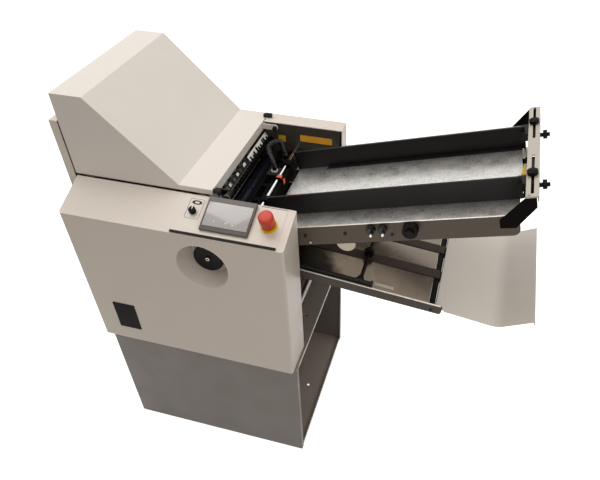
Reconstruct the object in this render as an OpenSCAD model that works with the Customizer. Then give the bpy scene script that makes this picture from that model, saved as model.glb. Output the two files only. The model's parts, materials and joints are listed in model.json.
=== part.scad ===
// Floor-standing buckle folding machine with suction feed table,
// belt delivery under the table and a catch tray at its end.
// Machine frame: x runs from the hood end to the feed table, y away from
// the operator, z up from the floor. The origin is the centre of the floor plate.

/* [Base cabinet] */
// Width of the base cabinet along x
base_w = 652; // [560:1:760]
// Depth of the base cabinet along y
base_d = 552; // [480:1:640]
// Height of the shelf that carries the folding unit
base_h = 467; // [380:1:560]
// Sheet thickness of the base cabinet
base_t = 2; // [1.5:0.5:3]
// Width of the return flanges round the open end
base_flange = 16; // [10:1:30]
// Setback of the base behind the operator side cover
base_back = 21; // [10:1:40]

/* [Side frames and covers] */
// Length of the operator side cover along x
cover_w = 650; // [600:1:720]
// Depth of the operator side cover along y
cover_d = 116; // [100:1:140]
// Height of the operator cover's front face
cover_front_h = 496; // [440:1:560]
// Rise of the sloping console from front to back
console_rise = 47; // [35:1:65]
// Gap between the shelf and the covers
cover_lift = 6; // [3:1:12]
// Sheet thickness of covers and hood
skin_t = 2; // [1.5:0.5:3]
// Radius of the cover's upright front corners
cover_r = 8; // [4:1:16]
// Thickness of the side frames
frame_t = 6; // [5:0.5:10]
// Clear width between the side frames
frame_gap = 390; // [370:1:420]
// Depth of the rear side cover along y
rear_cover_d = 55; // [50:1:80]
// Length of the rear side cover along x
rear_cover_w = 670; // [660:1:720]
// Height of the rear cover above the operator cover
rear_rise = 20; // [12:1:30]
// Depth of the left end cover along x
end_cover_d = 25; // [16:1:40]
// Height of the left end cover's top below the hood's top
end_cover_drop = 78; // [50:1:120]
// Diameter of the three tie rods between the frames
tie_d = 18; // [12:1:26]

/* [Hood] */
// Height of the hood above the console
hood_h = 244; // [200:1:290]
// Length of the hood's flat top
hood_top_l = 95; // [70:1:140]
// Length of the hood's slope measured along x
hood_slope_l = 226; // [190:1:250]
// Length of the low deck beside the feeder
hood_deck_l = 98; // [92:1:110]
// Depth of the flange at the deck's edge
hood_flange = 29; // [20:1:34]
// Diameter of the two hood pivots
pivot_d = 8; // [6:1:12]
// Diameter of the black buffers at the deck's corners
buffer_d = 14; // [10:1:18]
// Length of the black buffers
buffer_l = 20; // [12:1:26]

/* [Console] */
// Width of the console panel
console_w = 292; // [270:1:300]
// Height of the console panel along the slope
console_l = 111; // [106:1:111]
// Width of the touch panel
touch_w = 134; // [120:1:140]
// Height of the touch panel
touch_l = 98; // [84:1:98]
// Thickness of the touch panel
touch_t = 8; // [5:1:12]
// Diameter of the emergency stop button's head
estop_d = 40; // [30:1:44]
// Diameter of the emergency stop's collar plate
estop_ring_d = 46; // [45:1:56]
// Travel of the emergency stop button
estop_travel = 5; // [3:0.5:6]
// Diameter of the speed dial
dial_d = 19; // [16:1:28]
// Width of the plain plate on the front
plate_w = 75; // [50:1:90]
// Height of the plain plate on the front
plate_h = 110; // [80:1:130]

/* [Folding rollers] */
// Centre distance of a folding roller pair, and pitch diameter of its gears
roller_c = 40; // [36:2:44]
// Gap between two folding rollers
roller_gap = 0.6; // [0.6:0.1:1.2]
// Diameter of the roller shafts
shaft_d = 12; // [10:1:14]
// Tooth module of the gears
gear_m = 2; // [2:1:2]
// Width of the gears
gear_w = 12; // [8:1:14]
// Diameter of the handwheel
wheel_d = 87; // [70:1:96]
// Diameter of the round recess round the handwheel
recess_d = 154; // [140:1:170]
// Depth of the round recess
recess_depth = 60; // [50:1:70]

/* [Fold plates] */
// Length of the upper fold plate
upper_plate_l = 400; // [340:1:410]
// Length of the lower fold plate
lower_plate_l = 380; // [320:1:400]
// Clear width of the fold plates
plate_gap_w = 326; // [300:1:340]
// Gap between the two sheets of a fold plate
plate_gap = 4; // [3:0.5:5]

/* [Feed table] */
// Length of the feed table along its slope
table_l = 669; // [600:1:720]
// Rise angle of the feed table
table_a = 15.55; // [10:0.05:20]
// Height of the table's side plates
table_side_h = 60; // [48:1:70]
// Overhang of the far side of the table beyond the rear side frame
table_over = 38; // [30:1:46]
// Height of the side guides
guide_h = 60; // [54:1:66]
// Thickness of the guide sheet
guide_t = 3; // [2:0.5:4]
// Clear distance between the side guides
guide_gap = 240; // [200:1:260]
// Travel of each side guide outwards
guide_out = 45; // [20:1:45]
// Travel of each side guide inwards
guide_in = 60; // [30:1:60]
// Reach of the near guide's glide strip under the crossbar
glide_reach = 97; // [60:1:97]
// Width of the end crossbar
bar_w = 28; // [24:1:34]
// Height of the crossbar's top above the table
bar_h = 50; // [40:1:52]
// Width of the crossbar's slots
slot_w = 7; // [7:0.5:9]
// Radius of the half-round lug under the near side plate
lug_r = 26; // [18:1:32]
// Diameter of the knurled table knob
knob_d = 40; // [30:1:44]
// Diameter of the two air valve bodies
valve_d = 25; // [18:1:26]

/* [Delivery] */
// Length of the delivery rails
rail_l = 621; // [560:1:660]
// Fall angle of the delivery
rail_a = 6.05; // [3:0.05:9]
// Height of the delivery rails
rail_h = 31; // [28:1:40]
// Radius of the belt rollers
belt_roller_r = 9; // [7:0.5:9]
// Width of the delivery belts
belt_w = 34; // [24:1:44]
// Thickness of the delivery belts
belt_t = 2; // [1.5:0.5:2.5]
// Distance between the two belts
belt_pitch = 112; // [90:1:140]
// Length of the tray's falling part along x
tray_fall_l = 172; // [140:1:200]
// Length of the tray's rising lip along x
tray_lip_l = 88; // [60:1:110]
// Diameter of the press wheels
press_d = 29; // [24:1:34]

/* [Feeder] */
// Diameter of the suction drum
drum_d = 70; // [60:1:74]
// Width of the suction drum
drum_w = 220; // [180:1:240]
// Diameter of the chrome feeder rod
rod_d = 10; // [8:1:12]
// Outer diameter of the ribbed vacuum hose
hose_d = 17; // [15:1:18]

/* [Hidden] */
$fn = 48;

fit = 0.05;      // radial running clearance of a shaft in its bore
gap = 0.3;       // clearance between neighbouring pieces that move past each other
slit = 3.5;      // open joint between hood and covers
seat = 0.02;     // air between the sloping top and the pieces laid on it

// ---- derived planes of the machine frame
base_x0 = 4;
base_y0 = base_back;
cover_z0 = base_h + cover_lift;
shoulder_z = cover_z0 + cover_front_h;
console_z = shoulder_z + console_rise;
console_a = atan(console_rise/cover_d);
slope_l = cover_d/cos(console_a);
frame_y0 = cover_d - 4;
frame_y1 = frame_y0 + frame_t;
rear_y0 = frame_y1 + frame_gap;
rear_y1 = rear_y0 + frame_t;
rear_back = rear_y0 + rear_cover_d;
mid_y = (frame_y1 + rear_y0)/2;
frame_top = console_z - 6;
rear_top = console_z + rear_rise;
// hood outline
hood_x0 = -5;
hood_x1 = hood_x0 + hood_top_l;
hood_x2 = hood_x1 + hood_slope_l;
hood_x3 = hood_x2 + hood_deck_l;
hood_y0 = frame_y1 + 2;
hood_z0 = console_z + 4;
hood_z1 = console_z + hood_h;
pivot_x = hood_x3 + 42;
pivot_z = rear_top - 14;
ear_r = pivot_d/2 + 5;
ear_t = 3;
ear_y0 = frame_y1 + 20;
ear_y1 = rear_y0 - 5;
// roller centres: the central roller carries three satellites
rc = [hood_x3 - 3, console_z - 154];
a_up = 65; a_left = 160; a_low = 255;
function polar(c, r, a) = [c[0] + r*cos(a), c[1] + r*sin(a)];
r_up = polar(rc, roller_c, a_up);
r_left = polar(rc, roller_c, a_left);
r_low = polar(rc, roller_c, a_low);
roller_r = (roller_c - roller_gap)/2;
teeth = round(roller_c/gear_m);
drum_teeth = 2*teeth;
gear_y0 = rear_y1 + 3;
motor_y0 = gear_y0 + gear_w + 2 + gap;
// feed table datum: inner end of the table's top face
table_x0 = hood_x3 + 131;
table_z0 = console_z - 86.6;
tc = cos(table_a); ts = sin(table_a);
// the drum's gear meshes with the upper roller's gear and its top lies on the table's plane
drum_c = roller_c/2 + gear_m*drum_teeth/2;
drum_off = drum_d/2/tc;
drum_k = r_up[1] - (table_z0 + (r_up[0] - table_x0)*tan(table_a) - drum_off);
a_drum = table_a - asin(drum_k*tc/drum_c);
r_drum = polar(r_up, drum_c, a_drum);
// the motor's pinion meshes with the lower roller's gear
a_motor = 300;
r_motor = polar(r_low, roller_c, a_motor);
// table across
near_y0 = frame_y1 + 2;
side_t = 2;
far_y1 = rear_y0 + table_over;
guide_mid = mid_y - 6.5;
guide_n = guide_mid - guide_gap/2;     // inner face of the near guide
guide_f = guide_mid + guide_gap/2;     // inner face of the far guide
guide_u1 = table_l + 7;
bar_u0 = table_l + 16;
bar_t = 4;
clamp_n = guide_n + 20; clamp_f = guide_f + 29;
star_n = guide_n - guide_t/2; star_f = guide_f - 7;
// delivery datum: start of the rails' top edges
rail_x0 = rc[0] + 29;
rail_z0 = rc[1] - 33.5;
rail_n0 = frame_y1 + 2;
rail_t = 3;
rail_f1 = rear_y0 - 2;
belt_top = -8.7;
roll_h = belt_top - belt_t - gap - belt_roller_r;
drive_u = 50;
end_u = rail_l - 29;
trod_u = rail_l - 9;
bed_top = belt_top - belt_t - gap;
bed_u1 = end_u - belt_roller_r - 0.8;
press_u = 382;
arm_y0 = rail_n0 + rail_t + 4; arm_w = 6;
press_h = belt_top + gap + press_d/2;
belt_y = [mid_y - belt_pitch/2, mid_y + belt_pitch/2];
// feeder parts over the drum
rod_x = hood_x3 + 110; rod_z = console_z - 56;
e = 1;

// ---- frames of reference
module place() { translate([-base_x0 - base_w/2, -base_y0 - base_d/2, 0]) children(); }
module box(a, b) { translate(a) cube([b[0]-a[0], b[1]-a[1], b[2]-a[2]]); }
// outline in x and z, extruded along y
module along_y(y0, y1) { translate([0, y1, 0]) rotate([90, 0, 0]) linear_extrude(y1 - y0) children(); }
// outline in y and z, extruded along x
module along_x(x0, x1) { translate([x0, 0, 0]) rotate([90, 0, 90]) linear_extrude(x1 - x0) children(); }
module ycyl(c, y0, y1, r) { translate([c[0], y1, c[1]]) rotate([90, 0, 0]) cylinder(r = r, h = y1 - y0); }
module on_console() { translate([0, 0, shoulder_z]) rotate([console_a, 0, 0]) translate([0, 0, seat]) children(); }
module on_table() { translate([table_x0, 0, table_z0]) rotate([0, -table_a, 0]) children(); }
module on_rail() { translate([rail_x0, 0, rail_z0]) rotate([0, rail_a, 0]) children(); }
function rail_pt(u, h) = [rail_x0 + u*cos(rail_a) + h*sin(rail_a), rail_z0 - u*sin(rail_a) + h*cos(rail_a)];
function table_pt(u, h) = [table_x0 + u*tc - h*ts, table_z0 + u*ts + h*tc];
function arc(c, r, a0, a1, n) = [for (i = [0:n]) [c[0] + r*cos(a0 + (a1-a0)*i/n), c[1] + r*sin(a0 + (a1-a0)*i/n)]];
// closed racetrack round two centres of equal radius
function track(u0, u1, h, r) = concat(arc([u0, h], r, 90, 270, 16), arc([u1, h], r, -90, 90, 16));

// ---- base cabinet: one folded sheet round three sides, open towards the table
module base_cabinet() {
  x0 = base_x0; x1 = base_x0 + base_w; y0 = base_y0; y1 = base_y0 + base_d; z1 = base_h - base_t;
  r = 10;
  color("#71675f") difference() {
    union() {
      linear_extrude(z1) difference() {
        polygon(concat([[x1, y0]], [[x1, y1]], arc([x0+r, y1-r], r, 90, 180, 8), arc([x0+r, y0+r], r, 180, 270, 8)));
        polygon(concat([[x1+e, y0+base_t]], [[x1+e, y1-base_t]], arc([x0+r, y1-r], r-base_t, 90, 180, 8), arc([x0+r, y0+r], r-base_t, 180, 270, 8)));
      }
      for (y = [y0, y1 - base_flange]) box([x1-base_t, y, 0], [x1, y+base_flange, z1]);
      box([x1-base_t, y1-base_t-12, 0], [x1, y1, z1]);
    }
    for (z = [110, 360]) translate([x1-base_t-e, y1-base_flange/2-1, z]) rotate([0, 90, 0]) cylinder(d = 5, h = base_t+2*e);
  }
}
module base_floor_plate() {
  x0 = base_x0 + 12; x1 = base_x0 + base_w - base_t; y0 = base_y0 + base_t; y1 = base_y0 + base_d - base_t;
  color("#8a8178") difference() {
    union() {
      box([x0, y0, 0], [x1, y1, base_t]);
      box([x1-base_t, y0+base_flange, base_t], [x1, y1-base_flange, 14]);
    }
    translate([x1-60, (y0+y1)/2, -e]) cylinder(d = 10, h = base_t+2*e);
    for (y = [y0+110, y1-110]) translate([x0+80, y, -e]) cylinder(d = 10, h = base_t+2*e);
  }
}
module base_shelf() {
  x0 = base_x0; x1 = base_x0 + base_w; y0 = base_y0; y1 = base_y0 + base_d; z1 = base_h; r = 10;
  color("#a49a8f") difference() {
    union() {
      translate([0, 0, z1-base_t]) linear_extrude(base_t) polygon(concat([[x1, y0]], [[x1, y1]], arc([x0+r, y1-r], r, 90, 180, 8), arc([x0+r, y0+r], r, 180, 270, 8)));
      box([x1-2*base_t, y0+base_flange, z1-18], [x1-base_t, y1-base_flange, z1-base_t]);
    }
    for (p = [[x1-40, y0+230], [x1-40, y1-150], [x0+60, y0+120]]) translate([p[0], p[1], z1-base_t-e]) cylinder(d = 12, h = base_t+2*e);
  }
}

// ---- side frames
frame_x0 = 20; frame_x1 = cover_w - 10;
ties = [[70, base_h+60], [frame_x1-45, base_h+60], [70, frame_top-60]];
bores = [rc, r_up, r_left, r_low, r_drum];
bush_r = shaft_d/2 + 7;
module operator_side_frame() {
  color("#4a4642") along_y(frame_y0, frame_y1) difference() {
    union() {
      polygon([[frame_x0, base_h], [frame_x1, base_h], [frame_x1, frame_top], [frame_x0, frame_top]]);
      translate([pivot_x - ear_r - 1, frame_top - 5]) square([2*ear_r + 2, pivot_z - frame_top + 5]);
      translate([pivot_x, pivot_z]) circle(r = ear_r + 1);
    }
    for (c = bores) translate(c) circle(r = bush_r);
    translate([pivot_x, pivot_z]) circle(d = pivot_d);
  }
  // bent lug under the hood's free end
  color("#4a4642") box([frame_x0+10, frame_y1, frame_top-16], [frame_x0+34, hood_y0+skin_t+2, hood_z0-gap]);
}
module rear_side_frame() {
  x1 = rear_cover_w - skin_t - 6; xs = hood_x3 + slit + 2;
  color("#3c3836") along_y(rear_y0, rear_y1) difference() {
    polygon([[frame_x0, base_h], [x1, base_h], [x1, rear_top-skin_t], [xs+skin_t, rear_top-skin_t], [xs+skin_t, frame_top], [frame_x0, frame_top]]);
    for (c = bores) translate(c) circle(r = bush_r);
    translate(rail_pt(drive_u, roll_h)) circle(d = 10);
    translate([pivot_x, pivot_z]) circle(d = pivot_d);
  }
}
module frame_tie_rods() {
  color("#8f8b86") for (c = ties) ycyl(c, frame_y1, rear_y0, tie_d/2);
}
module roller_bearings() {
  color("#77736e") for (c = bores) {
    difference() { union() { ycyl(c, frame_y0, frame_y1, bush_r); ycyl(c, frame_y1, frame_y1+2, bush_r+2); } ycyl(c, frame_y0-e, frame_y1+2+e, shaft_d/2+fit); }
    difference() { union() { ycyl(c, rear_y0, rear_y1, bush_r); ycyl(c, rear_y0-2, rear_y0, bush_r+2); } ycyl(c, rear_y0-2-e, rear_y1+e, shaft_d/2+fit); }
  }
}

// ---- covers
module cover_plan(t) {
  r = cover_r - t;
  polygon(concat(arc([cover_r, cover_r], r, 180, 270, 6), arc([cover_w-cover_r, cover_r], r, 270, 360, 6), [[cover_w-t, cover_d+(t > 0 ? e : 0)], [t, cover_d+(t > 0 ? e : 0)]]));
}
module operator_side_cover() {
  k = skin_t/cos(console_a); tn = tan(console_a);
  color("#a2988c") difference() {
    union() {
      difference() {
        intersection() {
          translate([0, 0, cover_z0]) linear_extrude(cover_front_h+console_rise) cover_plan(0);
          along_x(-e, cover_w+e) polygon([[-e, cover_z0], [-e, shoulder_z-e*tn], [cover_d+e, console_z+e*tn], [cover_d+e, cover_z0]]);
        }
        intersection() {
          translate([0, 0, cover_z0+skin_t]) linear_extrude(cover_front_h+console_rise) cover_plan(skin_t);
          along_x(-e, cover_w+e) polygon([[0, cover_z0+skin_t], [0, shoulder_z-k], [cover_d+2*e, console_z-k+2*e*tn], [cover_d+2*e, cover_z0+skin_t]]);
        }
        box([frame_x0-gap, frame_y0, cover_z0-e], [frame_x1+gap, cover_d+e, cover_z0+skin_t+e]);
      }
      translate([rc[0], 0, rc[1]]) rotate([-90, 0, 0]) rotate_extrude() polygon([[recess_d/2+skin_t, 0], [recess_d/2-18+skin_t, recess_depth], [12, recess_depth], [12, recess_depth-skin_t], [recess_d/2-19, recess_depth-skin_t], [recess_d/2-1, 0]]);
    }
    translate([rc[0], -e, rc[1]]) rotate([-90, 0, 0]) cylinder(r1 = recess_d/2-1+e*0.3, r2 = recess_d/2-2, h = skin_t+2*e);
    on_console() translate([dial_x, dial_s, -2*skin_t]) cylinder(r = spindle_d/2+fit, h = 3*skin_t);
    // notch round the frame's hinge lug
    box([pivot_x-ear_r-1-gap, frame_y0-gap, frame_top-5], [pivot_x+ear_r+1+gap, cover_d+e, console_z+e]);
  }
}
module rear_side_cover() {
  t = skin_t; xs = hood_x3 + slit;
  color("#b5aca1") difference() {
    along_y(rear_y0, rear_back) polygon([[0, cover_z0], [rear_cover_w, cover_z0], [rear_cover_w, rear_top], [xs, rear_top], [xs, console_z], [0, console_z]]);
    along_y(rear_y0-e, rear_back-t) polygon([[t, cover_z0+t], [rear_cover_w-t, cover_z0+t], [rear_cover_w-t, rear_top-t], [xs+t, rear_top-t], [xs+t, console_z-t], [t, console_z-t]]);
    box([frame_x0-gap, rear_y0-e, cover_z0-e], [rear_cover_w-skin_t-5, rear_y1, cover_z0+t+e]);
  }
  // rest pad under the hood's free end
  color("#b5aca1") box([frame_x0+10, rear_back-10, console_z], [frame_x0+34, rear_back, hood_z0-gap]);
}
module left_end_cover() {
  t = skin_t; x1 = hood_x0 - 3; x0 = x1 - end_cover_d; z1 = hood_z1 - end_cover_drop; ya = frame_y1; yb = rear_back;
  color("#b0a69b") {
    difference() {
      box([x0, ya, cover_z0], [x1, yb, z1]);
      box([x0+t, ya+t, cover_z0+t], [x1+e, yb-t, z1-t]);
    }
    box([x1-e, ya, cover_z0+20], [frame_x0+22, ya+t, frame_top-40]);
    box([x0+t, rear_y0-t, cover_z0+20], [frame_x0+22, rear_y0, frame_top-40]);
  }
}
module hood_outline(t, z0) {
  // t is the distance of the outline inside the outer skin
  s = hood_slope_l; d = hood_z1 - rear_top; q = t*tan(atan(d/s)/2);
  polygon([[hood_x0+t, z0], [hood_x0+t, hood_z1-t], [hood_x1-q, hood_z1-t], [hood_x2-q, rear_top-t], [hood_x3-t, rear_top-t], [hood_x3-t, z0]]);
}
module hood() {
  color("#d4ccc4") difference() {
    union() {
      difference() {
        along_y(hood_y0, rear_back) hood_outline(0, hood_z0);
        along_y(hood_y0+skin_t, rear_back-skin_t) hood_outline(skin_t, hood_z0-e);
      }
      box([hood_x3-skin_t, hood_y0, rear_top-hood_flange], [hood_x3, rear_y0-slit, hood_z0+e]);
      for (y = [ear_y0, ear_y1-ear_t]) {
        box([hood_x3-skin_t, y, pivot_z-ear_r], [pivot_x, y+ear_t, pivot_z+ear_r]);
        ycyl([pivot_x, pivot_z], y, y+ear_t, ear_r);
      }
    }
    ycyl([pivot_x, pivot_z], ear_y0-e, ear_y0+ear_t+e, pivot_d/2+fit);
    ycyl([pivot_x, pivot_z], ear_y1-ear_t-e, ear_y1+e, pivot_d/2+fit);
  }
}
module hood_pivots() {
  c = [pivot_x, pivot_z];
  color("#26221f") {
    ycyl(c, frame_y0, ear_y0+ear_t+4, pivot_d/2);
    ycyl(c, frame_y1, ear_y0-gap, ear_r-1);
    ycyl(c, ear_y0+ear_t+gap, ear_y0+ear_t+7, pivot_d/2+3);
    ycyl(c, ear_y1-ear_t-4, rear_y1, pivot_d/2);
    ycyl(c, ear_y1+gap, rear_y0, ear_r+1);
    ycyl(c, ear_y1-ear_t-9, ear_y1-ear_t-gap, pivot_d/2+3);
  }
}
module hood_buffers() {
  r = buffer_d/2; yb = rear_back - 28;
  color("#1b1817") {
    translate([hood_x3, hood_y0+r+1, rear_top-r]) rotate([0, 90, 0]) cylinder(r = r, h = buffer_l);
    translate([hood_x3, yb, rear_top+r+gap]) rotate([0, 90, 0]) cylinder(r = r, h = buffer_l);
    box([hood_x3-7, yb-5, rear_top], [hood_x3, yb+5, rear_top+r+3]);
  }
}

// ---- console on the sloping top of the operator cover
con_x0 = cover_w - 21 - console_w; con_s0 = 9; con_t = 1.5;
touch_x0 = con_x0 + 76; touch_s0 = slope_l - touch_l - 5;
estop_x = con_x0 + console_w - 37; estop_s = 68; estop_collar = 24;
dial_x = con_x0 + 40.3; dial_s = 72; spindle_d = 6;
module console_panel() {
  color("#c9c1b8") on_console() difference() {
    union() {
      box([con_x0, con_s0, 0], [con_x0+console_w, con_s0+console_l, con_t]);
      box([con_x0-2, con_s0-6.5, 0], [con_x0+console_w-2, con_s0-gap, con_t+2.5]);
    }
    translate([estop_x, estop_s, con_t-0.3]) cylinder(d = estop_ring_d, h = 2);
    translate([dial_x, dial_s, -e]) cylinder(r = spindle_d/2+fit, h = con_t+2*e);
  }
}
module touch_panel() {
  touch_screen();
  color("#4a4a4c") on_console() difference() {
    union() {
      box([touch_x0, touch_s0, con_t], [touch_x0+touch_w, touch_s0+touch_l, con_t+touch_t-1]);
      box([touch_x0+1, touch_s0+1, con_t+1], [touch_x0+touch_w-1, touch_s0+touch_l-1, con_t+touch_t]);
    }
    box([touch_x0+7, touch_s0+12, con_t+touch_t-1.2], [touch_x0+touch_w-7, touch_s0+touch_l-9, con_t+touch_t+e]);
  }
}
module touch_screen() {
  color("#9a9a98") on_console() box([touch_x0+7, touch_s0+12, con_t+touch_t-1.2], [touch_x0+touch_w-7, touch_s0+touch_l-9, con_t+touch_t-0.2]);
}
module estop_base() {
  color("#d8b51c") on_console() translate([estop_x, estop_s, con_t-0.3]) difference() {
    union() { cylinder(d = estop_ring_d, h = 3.8); cylinder(d = 30, h = estop_collar); }
    translate([0, 0, -e]) cylinder(d = 22 + 2*fit, h = 30);
  }
}
module estop_button() {
  h0 = estop_collar + estop_travel + 1;
  color("#e0584c") on_console() translate([estop_x, estop_s, con_t-0.3]) {
    translate([0, 0, estop_travel+0.5]) cylinder(d = 22, h = h0 - estop_travel);
    difference() {
      translate([0, 0, estop_travel+4.3]) cylinder(d = estop_d, h = h0-estop_travel-0.3);
      translate([0, 0, -e]) cylinder(d = 32, h = h0+e);
    }
    translate([0, 0, h0]) rotate_extrude() polygon(concat([[0, 0], [estop_d/2-4, 0], [estop_d/2, 4]], arc([estop_d/2-7, 14], 7, 0, 80, 6), [[0, 22]]));
  }
}
module speed_dial() {
  color("#1f1d1c") on_console() translate([dial_x, dial_s, con_t+gap]) difference() {
    union() {
      cylinder(d = dial_d, h = 11);
      translate([0, 0, -con_t-gap-skin_t-6]) cylinder(d = spindle_d, h = con_t+gap+skin_t+7);
      translate([0, 0, 11]) cylinder(d1 = dial_d, d2 = dial_d-3, h = 2);
      for (i = [0:11]) rotate(i*30+15) translate([dial_d/2-0.6, -0.9, 0]) cube([1.4, 1.8, 10]);
    }
    translate([-0.8, 2, 12.2]) cube([1.6, dial_d/2, 2]);
  }
}
module name_plate() {
  x0 = 71; z0 = cover_z0 + 56;
  color("#1c1a1a") translate([x0, 0, z0]) rotate([90, 0, 0]) linear_extrude(1.5) polygon(concat(arc([3, 3], 3, 180, 270, 4), arc([plate_w-3, 3], 3, 270, 360, 4), arc([plate_w-3, plate_h-3], 3, 0, 90, 4), arc([3, plate_h-3], 3, 90, 180, 4)));
}

// ---- rollers, gears and handwheel
// tooth outline: one tooth is centred on the angle a0
module gear2d(n, m, a0) {
  p = 360/n; r0 = n*m/2; lash = 0.09/r0*180/PI;
  polygon([for (i = [0:n-1]) each [
    polar([0, 0], r0-1.25*m, a0+i*p-0.36*p), polar([0, 0], r0-0.4*m, a0+i*p-0.27*p+lash),
    polar([0, 0], r0+0.1*m, a0+i*p-0.235*p+lash), polar([0, 0], r0+0.9*m, a0+i*p-0.11*p),
    polar([0, 0], r0+0.9*m, a0+i*p+0.11*p), polar([0, 0], r0+0.1*m, a0+i*p+0.235*p-lash),
    polar([0, 0], r0-0.4*m, a0+i*p+0.27*p-lash), polar([0, 0], r0-1.25*m, a0+i*p+0.36*p)]]);
}
module gear(c, n, a0) { along_y(gear_y0, gear_y0+gear_w) translate(c) gear2d(n, gear_m, a0); }
tooth0 = 0;
// phase of a gear with n2 teeth that meshes in direction a with one of n1 teeth
function mesh_phase(a, n1, a1, n2) = a + 180 - (a1 - a)*n1/n2 - 180/n2;
p_up = mesh_phase(a_up, teeth, tooth0, teeth);
p_left = mesh_phase(a_left, teeth, tooth0, teeth);
p_low = mesh_phase(a_low, teeth, tooth0, teeth);
p_drum = mesh_phase(a_drum, teeth, p_up, drum_teeth);
p_motor = mesh_phase(a_motor, teeth, p_low, teeth);
roll_y0 = frame_y1 + 6; roll_y1 = rear_y0 - 6;
module roller(c, a0) {
  ycyl(c, frame_y0-4, gear_y0+gear_w+1, shaft_d/2);
  difference() {
    ycyl(c, roll_y0, roll_y1, roller_r);
    for (i = [0:6]) translate([0, roll_y0 + 24 + i*(roll_y1-roll_y0-52)/6, 0]) difference() { ycyl(c, 0, 4, roller_r+e); ycyl(c, -e, 4+e, roller_r-1.2); }
  }
  gear(c, teeth, a0);
}
wheel_y0 = 36; wheel_y1 = recess_depth - 4;
module central_roller() {
  color("#30343c") {
    roller(rc, tooth0);
    ycyl(rc, wheel_y1-14, frame_y0, shaft_d/2);
    ycyl(rc, frame_y0-14, frame_y0-2, shaft_d/2+4);
  }
}
module upper_roller() { color("#272b35") roller(r_up, p_up); }
module left_roller() { color("#30343c") roller(r_left, p_left); }
module lower_roller() { color("#30343c") roller(r_low, p_low); }
module handwheel() {
  color("#191717") translate([rc[0], 0, rc[1]]) rotate([-90, 0, 0]) difference() {
    union() {
      rotate_extrude() polygon([[0, wheel_y0+2], [9, wheel_y0+2], [10, wheel_y0+3], [10, wheel_y0+6], [18, wheel_y0+6], [18, wheel_y0+9], [wheel_d/2-13, wheel_y0+9], [wheel_d/2-11, wheel_y0+1], [wheel_d/2-9, wheel_y0], [wheel_d/2-3, wheel_y0], [wheel_d/2, wheel_y0+3], [wheel_d/2, wheel_y1-3], [wheel_d/2-3, wheel_y1], [0, wheel_y1]]);
    }
    translate([0, 0, wheel_y1-14]) cylinder(d = shaft_d, h = 14+e);
    for (i = [0:11]) rotate(i*30+15) translate([wheel_d/2+3.5, 0, wheel_y0-e]) cylinder(d = 10, h = 30);
  }
}
module suction_drum() {
  y0 = mid_y - drum_w/2;
  color("#3a3a3e") {
    difference() {
      union() {
        ycyl(r_drum, y0, y0+drum_w, drum_d/2);
        ycyl(r_drum, frame_y0-4, gear_y0+gear_w+1, shaft_d/2);
      }
      for (i = [0:4]) for (j = [0:7]) translate([r_drum[0], y0+22+i*(drum_w-44)/4, r_drum[1]]) rotate([0, j*45+(i%2)*22, 0]) translate([0, 0, drum_d/2-4]) cylinder(d = 5, h = 8);
    }
    gear(r_drum, drum_teeth, p_drum);
  }
}
module motor_pinion() {
  color("#6a6763") {
    gear(r_motor, teeth, p_motor);
    ycyl(r_motor, gear_y0-2, motor_y0+12, shaft_d/2-2);
  }
}
// flat gear motor behind the rear frame, on three pillars
module drive_motor() {
  y0 = motor_y0; y1 = rear_back - skin_t - 4;
  color("#55524e") {
    difference() { ycyl(r_motor, y0, y1, 38); ycyl(r_motor, y0-e, y0+14, shaft_d/2-2+fit); }
    for (a = [200, 290, 350]) {
      c = polar(r_motor, 46, a);
      ycyl(c, rear_y1, y0+6, 5);
      along_y(y0, y0+6) polygon([polar(c, 6, a+90), polar(c, 6, a-90), polar(r_motor, 34, a-9), polar(r_motor, 34, a+9)]);
    }
  }
}

// ---- fold plates
fold_h = 7; sheet_h = 1.5; fold_rail = 12;
up_m = [rc[0]-15, rc[1]+40]; low_m = [rc[0]-39, rc[1]-20];
fold_y0 = mid_y - plate_gap_w/2; fold_y1 = mid_y + plate_gap_w/2;
stop_y = [fold_y0+50, fold_y1-50];
module at_fold(m, a) { translate([m[0], 0, m[1]]) rotate([0, a, 0]) children(); }
module fold_plate(m, a, len, pins) {
  at_fold(m, a) {
    for (y = [fold_y0-fold_rail, fold_y1]) box([0, y, -fold_h], [len, y+fold_rail, fold_h]);
    difference() {
      union() for (h = [-plate_gap/2-sheet_h, plate_gap/2]) box([0, fold_y0, h], [len, fold_y1, h+sheet_h]);
      for (y = stop_y) box([30, y-4.5, -plate_gap/2-sheet_h-e], [len-20, y+4.5, -plate_gap/2+e/2]);
      for (i = [0:4]) { y = fold_y0 + 90 + i*(plate_gap_w-180)/4; box([40, y-9, -fold_h], [len-40, y+9, fold_h]); }
      for (y = [fold_y0+22, fold_y1-22]) box([40, y-9, -fold_h], [len-40, y+9, fold_h]);
    }
    for (u = pins) { ycyl([u, 0], frame_y1, fold_y0-fold_rail+e, 5); ycyl([u, 0], fold_y1+fold_rail-e, rear_y0, 5); }
    box([len, fold_y0-fold_rail, -fold_h], [len+6, fold_y1+fold_rail, fold_h]);
  }
}
module fold_stop(m, a, u) {
  at_fold(m, a) {
    box([u, fold_y0+gap, -plate_gap/2+gap], [u+18, fold_y1-gap, plate_gap/2-gap]);
    for (y = stop_y) translate([u+9, y, 0]) {
      translate([0, 0, -14]) cylinder(d = 6, h = 13.5);
      translate([0, 0, -22]) cylinder(d = 20, h = 9);
    }
  }
}
module upper_fold_plate() { color("#9c9a96") fold_plate(up_m, -135, upper_plate_l, [20, 120]); }
module lower_fold_plate() { color("#9c9a96") fold_plate(low_m, 135, lower_plate_l, [30, 300]); }
module upper_fold_stop() { color("#2a2826") fold_stop(up_m, -135, 250); }
module lower_fold_stop() { color("#2a2826") fold_stop(low_m, 135, 230); }

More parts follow.
